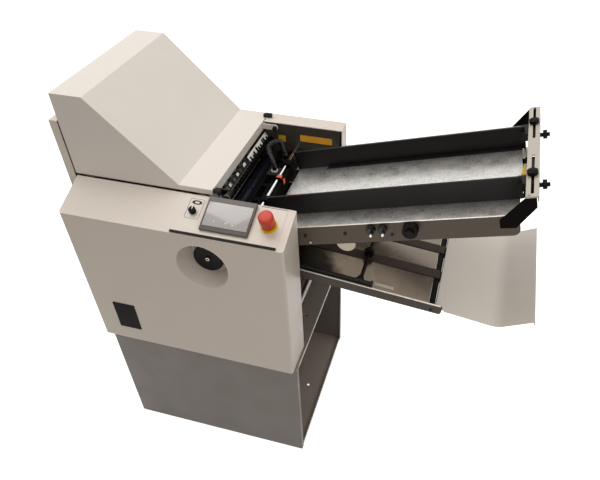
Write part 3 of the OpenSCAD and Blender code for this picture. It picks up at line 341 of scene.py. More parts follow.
@dataclass(frozen=True)
class PowderCoat(Finish):
    """Powder-coated sheet steel: an even satin skin with a faint orange peel and handling smudges."""

    mottle: float = 0.012
    grain_mm: float = 2.6
    relief_mm: float = 0.018


@dataclass(frozen=True)
class Galvanised(Finish):
    """Hot-dip galvanised sheet: zinc spangles that reflect each a little differently, with clouds."""

    spangle_mm: float = 5.0
    spread: float = 0.07
    relief_mm: float = 0.01
    grain_mm: float = 20.0

    def paint(self, skin: Skin) -> None:
        """Feeds the shader from bent spangle cells and clouds.

        Args:
            skin: the material's nodes.
        """
        warp = skin.value("ShaderNodeTexNoise", {
            "Vector": skin.place, "Scale": per_metre(9.0), "Detail": 3.0}, "Color")
        cells = skin.value("ShaderNodeTexVoronoi", {
            "Vector": skin.mix("VECTOR", 0.004, skin.place, warp),
            "Scale": per_metre(self.spangle_mm),
            "Randomness": 1.0,
        }, "Color")
        level = skin.value("ShaderNodeRGBToBW", {"Color": cells}, "Val")
        cloud = skin.noise(34.0, 5.0)
        tone = skin.mix("FLOAT", 0.45, level, cloud)
        self.vary(skin, tone, self.spread, cloud, 0.04, skin.noise(self.grain_mm, 2.0))


@dataclass(frozen=True)
class ZincShadedNearRollers(Galvanised):
    """Zinc sheet with painted shade that darkens it towards the rollers, from one x to another in metres."""

    dark_to: float = 0.42
    unshaded_from: float = 0.50
    depth: float = 0.06

    def paint(self, skin: Skin) -> None:
        """Feeds the shader as plain zinc and dims its colour near the rollers as painted shade.

        Args:
            skin: the material's nodes.
        """
        super().paint(skin)
        plain = skin.shader.inputs["Base Color"].links[0].from_socket
        along = skin.value("ShaderNodeSeparateXYZ", {"Vector": skin.place}, "X")
        blur = skin.value("ShaderNodeMath", {0: skin.noise(60.0, 2.0), 1: 0.12}, operation="MULTIPLY")
        edge = skin.value("ShaderNodeMath", {0: along, 1: blur}, operation="ADD")
        # Painted shade: the share of the zinc's colour that is kept, low near the rollers
        unshaded_share = skin.value("ShaderNodeMapRange", {
            "Value": edge, "From Min": self.dark_to, "From Max": self.unshaded_from,
            "To Min": self.depth, "To Max": 1.0,
        }, "Result", interpolation_type="SMOOTHSTEP")
        skin.feed("Base Color", skin.mix("RGBA", 1.0, plain, unshaded_share, blend_type="MULTIPLY"))


@dataclass(frozen=True)
class Brushed(Finish):
    """Ground or brushed metal: fine parallel scratches along one direction."""

    stretch: Point = (1.0, 12.0, 12.0)

    def paint(self, skin: Skin) -> None:
        """Feeds the shader from stretched noise.

        Args:
            skin: the material's nodes.
        """
        turned = skin.value("ShaderNodeMapping", {"Vector": skin.place, "Scale": self.stretch}, "Vector")
        lines = skin.noise(self.grain_mm * 6.0, 4.0, turned)
        self.vary(skin, lines, self.mottle, lines, 0.08, lines)


@dataclass(frozen=True)
class Woven(Finish):
    """Fabric-backed belt: a fine weave of two threads under a rubbed coating."""

    thread_mm: float = 2.0

    def paint(self, skin: Skin) -> None:
        """Feeds the shader from two crossing waves.

        Args:
            skin: the material's nodes.
        """
        warp, weft = (
            skin.value("ShaderNodeTexWave", {
                "Vector": skin.place, "Scale": per_metre(self.thread_mm) / 6.0, "Distortion": 0.4,
            }, "Fac", bands_direction=direction)
            for direction in ("X", "Y")
        )
        weave = skin.value("ShaderNodeMath", {0: warp, 1: weft}, operation="MULTIPLY")
        self.vary(skin, skin.noise(60.0, 4.0), self.mottle, weave, 0.08, weave)


CROSSWISE = (12.0, 1.0, 12.0)


class Look(Enum):
    """The finishes of this machine, each named for what it is."""

    HOOD_PAINT = PowderCoat("powder_coat_warm_white", "#e4ddd5", 0.42)
    COVER_PAINT = PowderCoat("powder_coat_cover", "#ddd3c8", 0.42)
    # Darker than the cover's paint: painted shade for the low base, which gets less light
    BASE_PAINT = PowderCoat("powder_coat_base_shaded", "#716962", 0.46)
    SHELF_PAINT = PowderCoat("powder_coat_shelf", "#a3998f", 0.45)
    TRAY_PAINT = PowderCoat("powder_coat_tray", "#dcd5cc", 0.40, mottle=0.02)
    FRAME_STEEL = Brushed("blued_frame_steel", "#4a443e", 0.42, metallic=0.25, mottle=0.06, specular=0.4)
    TABLE_ZINC = Galvanised(
        "galvanised_table", "#e6e3dd", 0.30, metallic=0.90, spread=0.16, spangle_mm=4.0,
        relief_mm=0.03, grain_mm=3.0)
    # The bed's darkening towards the rollers is painted shade
    BED_ZINC = ZincShadedNearRollers("galvanised_bed", "#867b6f", 0.22, metallic=0.85, spangle_mm=9.0, spread=0.08)
    SIDE_STEEL = Brushed("side_plate_steel", "#4b4135", 0.42, metallic=0.30, mottle=0.04, specular=0.4)
    RAIL_STEEL = Brushed("rail_steel", "#352c23", 0.42, metallic=0.30, mottle=0.04, specular=0.4)
    # Pale strips along dark edges: painted highlights where the hems catch the light
    HEM_STEEL = Brushed("hem_painted_highlight", "#e9e4dc", 0.28, metallic=0.5, mottle=0.02)
    LUG_STEEL = Brushed("lug_zinc", "#b3a898", 0.38, metallic=0.4, mottle=0.04)
    BRIGHT_STEEL = Brushed("bright_steel", "#bdbab4", 0.30, metallic=1.0, mottle=0.04, stretch=CROSSWISE)
    CHROME = Finish("chrome_plate", "#f4f2f2", 0.06, metallic=1.0, mottle=0.0, relief_mm=0.0)
    BLACK_STEEL = PowderCoat("black_satin_coat", "#15110f", 0.50, mottle=0.04, relief_mm=0.02, specular=0.22)
    BRACKET_BLACK = PowderCoat(
        "black_matt_coat", "#080604", 0.60, mottle=0.04, relief_mm=0.02, specular=0.04)
    BAR_PAINT = PowderCoat("crossbar_coat", "#c3bbae", 0.40, mottle=0.03)
    BLACK_PLASTIC = Finish("black_moulded_abs", "#0b0907", 0.48, grain_mm=1.2, specular=0.10)
    GLOSS_BLACK = Finish("black_gloss_abs", "#0f0c0b", 0.18, mottle=0.02, relief_mm=0.004, specular=0.35)
    PLATE_BLACK = Finish("black_anodised_plate", "#0b0806", 0.50, mottle=0.04, relief_mm=0.004, specular=0.05)
    BUFFER_RUBBER = Finish(
        "buffer_rubber", "#120f0d", 0.62, mottle=0.06, grain_mm=1.6, relief_mm=0.04, specular=0.3)
    HOSE_PLASTIC = Finish("hose_pvc", "#0f0d0d", 0.30, mottle=0.04, mottle_mm=12.0, specular=0.4)
    BELT_RUBBER = Woven("brown_belt_fabric", "#3a2f28", 0.60, mottle=0.05, relief_mm=0.08, specular=0.25)
    ROLLER_COAT = Finish("roller_polyurethane", "#20222f", 0.42, mottle=0.06, grain_mm=1.0, specular=0.3)
    DRUM_METAL = Brushed("anodised_drum", "#1e1f2a", 0.35, metallic=0.4, stretch=CROSSWISE)
    CAST_MOTOR = PowderCoat("cast_motor_shell", "#5e5a55", 0.50, relief_mm=0.06)
    GEAR_STEEL = Brushed("machined_gear_steel", "#86827c", 0.32, metallic=1.0)
    CONSOLE_PAINT = PowderCoat("powder_coat_console", "#dcd2c7", 0.34)
    STOP_RED = Finish("stop_red_abs", "#cb300e", 0.42, mottle=0.02, relief_mm=0.005)
    STOP_YELLOW = Finish("stop_yellow_abs", "#e2c41f", 0.34, mottle=0.02)
    PANEL_GREY = Finish("panel_bezel_abs", "#554d47", 0.36, grain_mm=1.0)
    SCREEN = Finish("screen_glass", "#aaa5a3", 0.12, mottle_mm=50.0, relief_mm=0.0, coat=0.6)
    ICON_WHITE = Finish("screen_icon_white", "#f6f4f2", 0.25, mottle=0.0, relief_mm=0.0)
    INK_BLACK = Finish("printed_black", "#14110f", 0.45, specular=0.2)
    SEAM_SHADE = Finish("seam_rubber", "#2b2622", 0.60, specular=0.1)
    LABEL_YELLOW = Finish("plain_yellow_sticker", "#d9b01f", 0.42, mottle=0.04, mottle_mm=20.0)
    LABEL_ORANGE = Finish("plain_orange_sticker", "#f4b02c", 0.42, mottle=0.04, mottle_mm=20.0)
    LABEL_WHITE = Finish("plain_white_sticker", "#d5cec4", 0.50, mottle=0.04, mottle_mm=20.0)
    TONGUE_ORANGE = Finish("orange_moulded_nylon", "#dd5a32", 0.38)
    STRIP_WHITE = PowderCoat("strip_white_coat", "#e4e1dc", 0.40, mottle=0.04)
    WEDGE_YELLOW = Finish("yellow_paper_wedge", "#dbb54a", 0.50, mottle=0.05, mottle_mm=15.0)
    SCREW_STEEL = Brushed("zinc_plated_screw", "#a9a49c", 0.33, metallic=1.0)
    BLACK_SCREW = Finish("blackened_screw", "#1a1614", 0.40, metallic=0.5)

    def material(self) -> bpy.types.Material:
        """Gives the look's material."""
        return self.value.material()


# ---- bench


class Bench:
    """Models pieces with Blender's own operators, as by hand."""

    @staticmethod
    def clear() -> None:
        """Leaves edit mode and deselects everything."""
        if bpy.context.object is not None and bpy.context.object.mode != "OBJECT":
            bpy.ops.object.mode_set(mode="OBJECT")
        bpy.ops.object.select_all(action="DESELECT")

    @staticmethod
    def use(piece: Piece) -> None:
        """Makes one piece the only selected and the active one.

        Args:
            piece: the object.
        """
        Bench.clear()
        piece.select_set(True)
        bpy.context.view_layer.objects.active = piece

    @staticmethod
    @contextmanager
    def whole(piece: Piece) -> Iterator[None]:
        """Holds a piece in edit mode with everything selected.

        Args:
            piece: the mesh object.
        """
        Bench.use(piece)
        bpy.ops.object.mode_set(mode="EDIT")
        bpy.ops.mesh.select_all(action="SELECT")
        yield
        bpy.ops.object.mode_set(mode="OBJECT")

    @staticmethod
    @contextmanager
    def picked(piece: Piece, kind: str, test: Callable[[Vector, Vector], bool]) -> Iterator[None]:
        """Holds a piece in edit mode with some faces or edges selected.

        Args:
            piece: the mesh object.
            kind: FACE or EDGE.
            test: says of a centre and a normal (or an edge's direction) if it is taken.
        """
        Bench.use(piece)
        bpy.ops.object.mode_set(mode="EDIT")
        bpy.ops.mesh.select_mode(type=kind)
        bpy.ops.mesh.select_all(action="DESELECT")
        bpy.ops.object.mode_set(mode="OBJECT")
        mesh = piece.data
        if kind == "FACE":
            for face in mesh.polygons:
                face.select = test(face.center, face.normal)
        else:
            for edge in mesh.edges:
                a, b = (mesh.vertices[i].co for i in edge.vertices)
                edge.select = test((a + b) / 2, (b - a).normalized())
        bpy.ops.object.mode_set(mode="EDIT")
        yield
        bpy.ops.object.mode_set(mode="OBJECT")

    @staticmethod
    def outwards() -> None:
        """Turns all normals of the mesh in edit mode outwards."""
        bpy.ops.mesh.select_all(action="SELECT")
        bpy.ops.mesh.normals_make_consistent(inside=False)

    @staticmethod
    def draw(name: str, points: Sequence, edges: Sequence, faces: Sequence) -> Piece:
        """Links a new object made of points, edges and faces.

        Args:
            name: the piece's name.
            points: places in metres.
            edges: pairs of point numbers.
            faces: rings of point numbers.

        Returns:
            The new object.
        """
        Bench.clear()
        mesh = bpy.data.meshes.new(name)
        mesh.from_pydata(points, edges, faces)
        piece = bpy.data.objects.new(name, mesh)
        bpy.context.scene.collection.objects.link(piece)
        return piece

    @staticmethod
    def seat(name: str, place: Matrix) -> Piece:
        """Names the object just added and puts its place, turn and size into its mesh.

        Args:
            name: the piece's name.
            place: its place, turn and size.

        Returns:
            The object.
        """
        piece = bpy.context.object
        piece.name = name
        piece.matrix_world = place
        Bench.use(piece)
        bpy.context.view_layer.update()
        bpy.ops.object.transform_apply(location=True, rotation=True, scale=True)
        return piece

    @staticmethod
    def block(name: str, plane: Plane, low: Sequence[float], high: Sequence[float]) -> Piece:
        """Adds a box between two corners given on a plane.

        Args:
            name: the piece's name.
            plane: the plane whose axes the corners use.
            low: lowest corner in millimetres.
            high: highest corner in millimetres.

        Returns:
            The new object, with its place in its mesh.
        """
        Bench.clear()
        bpy.ops.mesh.primitive_cube_add(size=1.0)
        size = [(b - a) * MM for a, b in zip(low, high)]
        centre = [(a + b) / 2 * MM for a, b in zip(low, high)]
        return Bench.seat(name, plane.matrix() @ Matrix.Translation(centre) @ Matrix.Diagonal((*size, 1.0)))

    @staticmethod
    def rod(
        name: str, plane: Plane, foot: Sequence[float], radius: float, height: float, sides: int = 48
    ) -> Piece:
        """Adds a round bar that stands on a plane.

        Args:
            name: the piece's name.
            plane: the plane it stands on.
            foot: centre of its foot on the plane, in millimetres.
            radius: radius in millimetres.
            height: height along the plane's normal in millimetres.
            sides: how many flats its outline has.

        Returns:
            The new object.
        """
        Bench.clear()
        bpy.ops.mesh.primitive_cylinder_add(vertices=sides, radius=radius * MM, depth=height * MM)
        middle = Vector(foot) * MM + Vector((0, 0, height * MM / 2))
        return Bench.seat(name, plane.matrix() @ Matrix.Translation(middle))

    @staticmethod
    def lathe(
        name: str, plane: Plane, foot: Sequence[float], profile: Sequence[Spot], steps: int = 64
    ) -> Piece:
        """Spins a profile round a plane's normal.

        Args:
            name: the piece's name.
            plane: the plane the axis stands on.
            foot: where the axis meets the plane, in millimetres.
            profile: radius and height of each point, in millimetres, from axis to axis.
            steps: how many steps a full turn has.

        Returns:
            The closed solid of revolution.
        """
        line = [(i, i + 1) for i in range(len(profile) - 1)]
        piece = Bench.draw(name, [(r * MM, 0.0, h * MM) for r, h in profile], line, [])
        with Bench.whole(piece):
            bpy.ops.mesh.spin(steps=steps, angle=2 * math.pi, center=(0, 0, 0), axis=Z_AXIS)
            bpy.ops.mesh.select_all(action="SELECT")
            bpy.ops.mesh.remove_doubles(threshold=1e-6)
            bpy.ops.mesh.normals_make_consistent(inside=False)
        return Bench.seat(name, plane.matrix() @ Matrix.Translation(Vector(foot) * MM))

    @staticmethod
    def round_edges(piece: Piece, width: float, segments: int = 3, limit_deg: float = 40.0) -> None:
        """Rounds all sharp edges with an applied bevel.

        Args:
            piece: the mesh object.
            width: width of the rounding in millimetres.
            segments: how many flats the rounding has.
            limit_deg: only edges sharper than this are rounded.
        """
        Bench.use(piece)
        bevel = piece.modifiers.new("edges", "BEVEL")
        bevel.width = width * MM
        bevel.segments = segments
        bevel.limit_method = "ANGLE"
        bevel.angle_limit = math.radians(limit_deg)
        bpy.ops.object.modifier_apply(modifier=bevel.name)

    @staticmethod
    def round_corners(piece: Piece, plane: Plane, radius: float, segments: int) -> None:
        """Rounds a flat block's upright corners.

        Args:
            piece: the block.
            plane: the plane it lies on.
            radius: radius in millimetres.
            segments: how many flats a corner has.
        """
        normal = plane.normal()
        with Bench.picked(piece, "EDGE", lambda place, way: abs(way.dot(normal)) > 0.9):
            bpy.ops.mesh.bevel(offset=radius * MM, segments=segments, affect="EDGES")

    @staticmethod
    def flutes(piece: Piece, plane: Plane, foot: Sequence[float], depth: float) -> None:
        """Presses twelve grip flutes into a round bar's side.

        Args:
            piece: the round bar.
            plane: the plane it stands on.
            foot: centre of its foot on the plane, in millimetres.
            depth: how deep the flutes are, in millimetres.
        """
        turn = plane.matrix().inverted().to_3x3()
        centre = plane.at(*foot)
        normal = plane.normal()

        def flute(place: Vector, direction: Vector) -> bool:
            """Says if a face is in every second group of side faces."""
            if abs(direction.dot(normal)) > 0.5:
                return False
            out = turn @ (place - centre)
            return math.degrees(math.atan2(out.y, out.x)) % 30.0 < 15.0

        with Bench.picked(piece, "FACE", flute):
            bpy.ops.mesh.inset(thickness=0.4 * MM, depth=-depth * MM, use_boundary=True)

    @staticmethod
    def finish(
        piece: Piece, look: Look, slot: str, body: str = MACHINE_BODY, stands_for: Sequence[str] = ()
    ) -> None:
        """Smooths, paints and seats a piece.

        Args:
            piece: the finished mesh object.
            look: its finish.
            slot: the record's material slot; not used.
            body: the CAD body that it rides on.
            stands_for: CAD nodes that it replaces.
        """
        Bench.use(piece)
        bpy.ops.object.shade_smooth_by_angle(angle=math.radians(38.0))
        piece.data.materials.clear()
        piece.data.materials.append(look.material())
        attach(piece, body)
        if stands_for:
            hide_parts(*stands_for)
        LOG.info("piece %s rides on %s", piece.name, body)


@dataclass(frozen=True)
class Dressing:
    """A finish, how wide the bent or broken edges are, and the CAD nodes that get both."""

    look: Look
    edge: float
    names: str

    def apply(self, nodes: dict[str, Piece]) -> None:
        """Paints the nodes and rounds their edges with live modifiers.

        Args:
            nodes: the CAD nodes' objects by name, whose own meshes stay as they are.
        """
        for name in self.names.split():
            node = nodes[name]
            node.data.materials.clear()
            node.data.materials.append(self.look.material())
            for face in node.data.polygons:
                face.use_smooth = True
            node.modifiers.new("weld", "WELD").merge_threshold = 1e-6
            flat = node.modifiers.new("flat", "DECIMATE")
            flat.decimate_type = "DISSOLVE"
            flat.angle_limit = math.radians(0.5)
            bevel = node.modifiers.new("edges", "BEVEL")
            bevel.width = self.edge * MM
            bevel.segments = 2
            bevel.limit_method = "ANGLE"
            bevel.angle_limit = math.radians(35.0)
            bevel.use_clamp_overlap = True
            node.modifiers.new("normals", "WEIGHTED_NORMAL").weight = 60
            LOG.info("node %s dressed in %s", name, self.look.value.name)


DRESSINGS = (
    Dressing(Look.BASE_PAINT, 1.2, "base_cabinet"),
    Dressing(Look.SHELF_PAINT, 0.6, "base_floor_plate base_shelf"),
    Dressing(Look.FRAME_STEEL, 0.6, "operator_side_frame rear_side_frame"),
    Dressing(Look.COVER_PAINT, 0.9, "operator_side_cover rear_side_cover left_end_cover"),
    Dressing(Look.HOOD_PAINT, 0.9, "hood"),
    Dressing(Look.CONSOLE_PAINT, 0.5, "console_panel"),
    Dressing(Look.TRAY_PAINT, 0.5, "catch_tray"),
    Dressing(Look.BAR_PAINT, 0.6, "table_crossbar"),
    Dressing(Look.BLACK_STEEL, 0.8, "suction_head"),
    Dressing(Look.BLACK_STEEL, 0.7, "hood_pivots"),
    Dressing(Look.BLACK_STEEL, 0.5, "near_guide far_guide press_carriage"),
    Dressing(Look.BLACK_STEEL, 0.3, "perforated_strip"),
    Dressing(Look.BRACKET_BLACK, 0.7, "crossbar_brackets"),
    Dressing(Look.BRACKET_BLACK, 0.6, "feeder_bridge front_gate"),
    Dressing(Look.PLATE_BLACK, 0.5, "name_plate"),
    Dressing(Look.BRIGHT_STEEL, 0.6, "frame_tie_rods"),
    Dressing(Look.BRIGHT_STEEL, 0.5, "belt_drive_roller"),
    Dressing(Look.BRIGHT_STEEL, 0.4, "roller_bearings upper_fold_plate lower_fold_plate"),
    Dressing(Look.CHROME, 0.6, "feed_rod"),
    Dressing(Look.ROLLER_COAT, 0.3, "central_roller upper_roller left_roller lower_roller"),
    Dressing(Look.DRUM_METAL, 0.3, "suction_drum"),
    Dressing(Look.CAST_MOTOR, 0.7, "drive_motor"),
    Dressing(Look.GEAR_STEEL, 0.2, "motor_pinion"),
    Dressing(Look.TABLE_ZINC, 0.5, "table_sheet"),
    Dressing(Look.SIDE_STEEL, 0.5, "table_near_plate table_far_plate"),
    Dressing(Look.SCREW_STEEL, 0.4, "table_screws"),
    Dressing(Look.RAIL_STEEL, 0.4, "delivery_rails"),
    Dressing(Look.BED_ZINC, 0.3, "delivery_bed"),
    Dressing(Look.BELT_RUBBER, 0.3, "delivery_belts"),
    Dressing(Look.BUFFER_RUBBER, 1.2, "hood_buffers"),
    Dressing(Look.STOP_YELLOW, 0.5, "estop_base"),
    Dressing(Look.GLOSS_BLACK, 0.8, "left_air_valve right_air_valve"),
    Dressing(Look.BLACK_PLASTIC, 0.8, "near_star_knob far_star_knob"),
    Dressing(Look.BLACK_PLASTIC, 0.5, "belt_end_roller press_shaft"),
    Dressing(Look.BLACK_PLASTIC, 0.4, "table_knob upper_fold_stop lower_fold_stop"),
)


# ---- console


@dataclass(frozen=True)
class Console:
    """The control console: touch panel, stop button, dial with its printed plate, and trim."""

    skin: float = 1.5
    panel_low: Spot = (413.0, 22.16)
    panel_size: Spot = (134.0, 98.0)
    panel_t: float = 8.0
    panel_rise: float = 5.0
    glass_low: Spot = (5.0, 12.0)
    glass_high: Spot = (129.0, 83.0)
    # Where the plain marks lie on the glass, as shares of its width and height
    marks: tuple[Spot, ...] = ((0.24, 0.22), (0.50, 0.20), (0.54, 0.25), (0.66, 0.17), (0.88, 0.72))
    stop: Spot = (592.0, 68.0)
    stop_h: float = 52.0
    dial: Spot = (377.3, 72.0)
    dial_r: float = 9.5
    ticks: int = 9

    def build(self) -> None:
        """Builds every piece of the console."""
        self.touch_panel()
        self.stop_button()
        self.dial_knob()
        self.dial_print()
        lip = Bench.block("console_lip", CONSOLE, (334.6, 2.2, 0.0), (628.4, 8.9, 4.4))
        Bench.round_edges(lip, 0.8)
        Bench.finish(lip, Look.SEAM_SHADE, "black_metal")

    def touch_panel(self) -> None:
        """Makes the housing, a black rim for its window, the glass and a few plain marks on it."""
        (x0, s0), (w, l), top = self.panel_low, self.panel_size, self.skin + self.panel_t
        housing = Bench.block("touch_housing", CONSOLE, (x0, s0, self.skin), (x0 + w, s0 + l, top))
        far_edge = CONSOLE.at(x0 + w / 2, s0 + l, top)
        with Bench.picked(housing, "EDGE", lambda place, way: (place - far_edge).length < 2 * MM):
            bpy.ops.transform.translate(value=CONSOLE.normal() * self.panel_rise * MM)
        Bench.round_edges(housing, 1.0)
        Bench.finish(housing, Look.PANEL_GREY, "touch_grey", stands_for=("touch_panel",))
        face = on_console(x0, s0, top, math.atan2(self.panel_rise, l))
        (u0, v0), (u1, v1) = self.glass_low, self.glass_high
        rim = Bench.block("touch_rim", face, (u0 - 1, v0 - 1, -0.3), (u1 + 1, v1 + 1, 0.25))
        Bench.finish(rim, Look.INK_BLACK, "touch_grey")
        glass = Bench.block("touch_glass", face, (u0, v0, -0.2), (u1, v1, 0.5))
        Bench.round_edges(glass, 0.2, 2)
        Bench.finish(glass, Look.SCREEN, "touch_grey")
        for i, (along, up) in enumerate(self.marks):
            foot = (u0 + along * (u1 - u0), v0 + up * (v1 - v0), 0.5)
            mark = Bench.rod(f"touch_mark_{i + 1}", face, foot, 1.3 + 0.3 * (i % 2), 0.08, 20)
            Bench.finish(mark, Look.ICON_WHITE, "touch_grey")

    def stop_button(self) -> None:
        """Makes the mushroom button with its skirt and rounded head."""
        low, roof, brim, top = 9.3, self.stop_h - 22.0, self.stop_h - 8.0, self.stop_h
        neck, skirt, head_r, crown_r = 11.0, 16.0, 20.0, 7.0
        crown = [
            (head_r - crown_r + crown_r * math.cos(math.radians(a)), brim + crown_r * math.sin(math.radians(a)))
            for a in range(0, 91, 15)
        ]
        head = Bench.lathe("stop_head", CONSOLE, (*self.stop, self.skin - 0.3), [
            (0.0, 5.5), (neck, 5.5), (neck, roof), (skirt, roof), (skirt, low), (head_r - 0.6, low),
            (head_r, low + 0.8), (head_r, brim - 6.0), *crown, (8.0, top - 0.4), (0.0, top),
        ], 72)
        Bench.finish(head, Look.STOP_RED, "stop_red", "estop_head", ("estop_button",))

    def dial_knob(self) -> None:
        """Makes the fluted dial with its white pointer and the pale cap beside it."""
        x, s = self.dial
        foot = self.skin + 0.4
        knob = Bench.rod("dial_knob", CONSOLE, (x, s, foot), self.dial_r, 12.6, 48)
        Bench.flutes(knob, CONSOLE, (x, s, foot), 0.5)
        Bench.round_edges(knob, 0.35, 2, 50.0)
        Bench.finish(knob, Look.BLACK_PLASTIC, "black_plastic", "dial", ("speed_dial",))
        pointer = Bench.block(
            "dial_pointer", CONSOLE, (x - 1.1, s + 1.0, foot + 12.4), (x + 1.1, s + 10.4, foot + 12.9))
        Bench.round_edges(pointer, 0.15, 2)
        Bench.finish(pointer, Look.ICON_WHITE, "black_plastic", "dial")
        cap = Bench.lathe("dial_marker", CONSOLE, (x - 5.5, s + 11.5, self.skin), [
            (0.0, 0.0), (5.4, 0.0), (5.4, 5.5), (4.6, 6.6), (2.5, 7.2), (0.0, 7.3)], 40)
        Bench.finish(cap, Look.LABEL_WHITE, "panel_grey")

    def dial_print(self) -> None:
        """Prints a plain frame, a plain oval and a scale of ticks round the dial."""
        (x, s), line = self.dial, 0.9
        frame = Bench.block(
            "dial_frame", CONSOLE, (x - 19.5, s - 21, self.skin), (x + 21.5, s + 40, self.skin + 0.12))
        Bench.round_corners(frame, CONSOLE, 5.0, 6)
        normal = CONSOLE.normal()
        with Bench.picked(frame, "FACE", lambda place, way: abs(way.dot(normal)) > 0.9):
            bpy.ops.mesh.inset(thickness=line * MM, depth=0.0)
            bpy.ops.mesh.delete(type="FACE")
            bpy.ops.mesh.select_mode(type="EDGE")
            bpy.ops.mesh.select_all(action="DESELECT")
            bpy.ops.mesh.select_non_manifold()
            bpy.ops.mesh.bridge_edge_loops()
            Bench.outwards()
        Bench.finish(frame, Look.INK_BLACK, "panel_grey")
        Bench.clear()
        bpy.ops.mesh.primitive_torus_add(
            major_radius=5.0 * MM, minor_radius=1.5 * MM, major_segments=48, minor_segments=10)
        centre = Matrix.Translation(Vector((x + 2, s + 29, self.skin + 0.5)) * MM)
        oval = Bench.seat("dial_symbol", CONSOLE.matrix() @ centre @ Matrix.Diagonal((2.2, 0.95, 0.6, 1.0)))
        Bench.finish(oval, Look.INK_BLACK, "panel_grey")
        reach = self.dial_r + 4.5
        for i in range(self.ticks):
            angle = math.radians(-120 + 30 * i)
            foot = (x + reach * math.sin(angle), s + reach * math.cos(angle), self.skin)
            tick = Bench.rod(f"dial_tick_{i + 1}", CONSOLE, foot, 0.55 + 0.06 * i, 0.12, 12)
            Bench.finish(tick, Look.INK_BLACK, "panel_grey")


# ---- handwheel


@dataclass(frozen=True)
class Handwheel:
    """The black wheel in the cover's round recess, and the recess's rolled rim."""

    centre: Point = (411.0, 862.0, 0.0)
    front: float = -36.0
    back: float = -56.0
    radius: float = 43.5
    recess_r: float = 76.0

    def build(self) -> None:
        """Turns the wheel with a dished face, its centre boss and the rim."""
        r, face, lip = self.radius, self.front, self.recess_r
        wheel = Bench.lathe("handwheel_rim", FRONT, self.centre, [
            (0.0, self.back), (r - 1.6, self.back), (r, self.back + 2.0), (r, face - 3.2), (42.0, face - 0.9),
            (39.5, face), (36.0, face - 0.6), (33.0, face - 2.0), (27.0, face - 4.0), (16.0, face - 4.6),
            (8.6, face - 3.4), (7.4, face - 0.8), (6.2, face + 0.2), (3.0, face + 0.4), (2.6, face + 1.5),
            (0.0, face + 1.5),
        ], 96)
        Bench.finish(wheel, Look.BLACK_PLASTIC, "black_plastic", "centre_train", ("handwheel",))
        ring = Bench.lathe("handwheel_boss", FRONT, self.centre, [
            (3.1, face + 0.2), (3.1, face + 1.4), (5.4, face + 1.4), (6.0, face + 0.9), (6.2, face + 0.1),
            (3.1, face + 0.2)], 48)
        Bench.finish(ring, Look.SCREW_STEEL, "black_plastic", "centre_train")
        rim = Bench.lathe("recess_lip", FRONT, self.centre, [
            (lip - 1.4, -2.6), (lip - 0.9, -0.8), (lip + 0.4, 0.5), (lip + 2.2, 0.9), (lip + 4.0, 0.5),
            (lip + 4.6, -0.3), (lip + 2.0, -1.2), (lip - 1.4, -2.6)], 128)
        Bench.finish(rim, Look.COVER_PAINT, "beige_paint")


# ---- vacuum hose


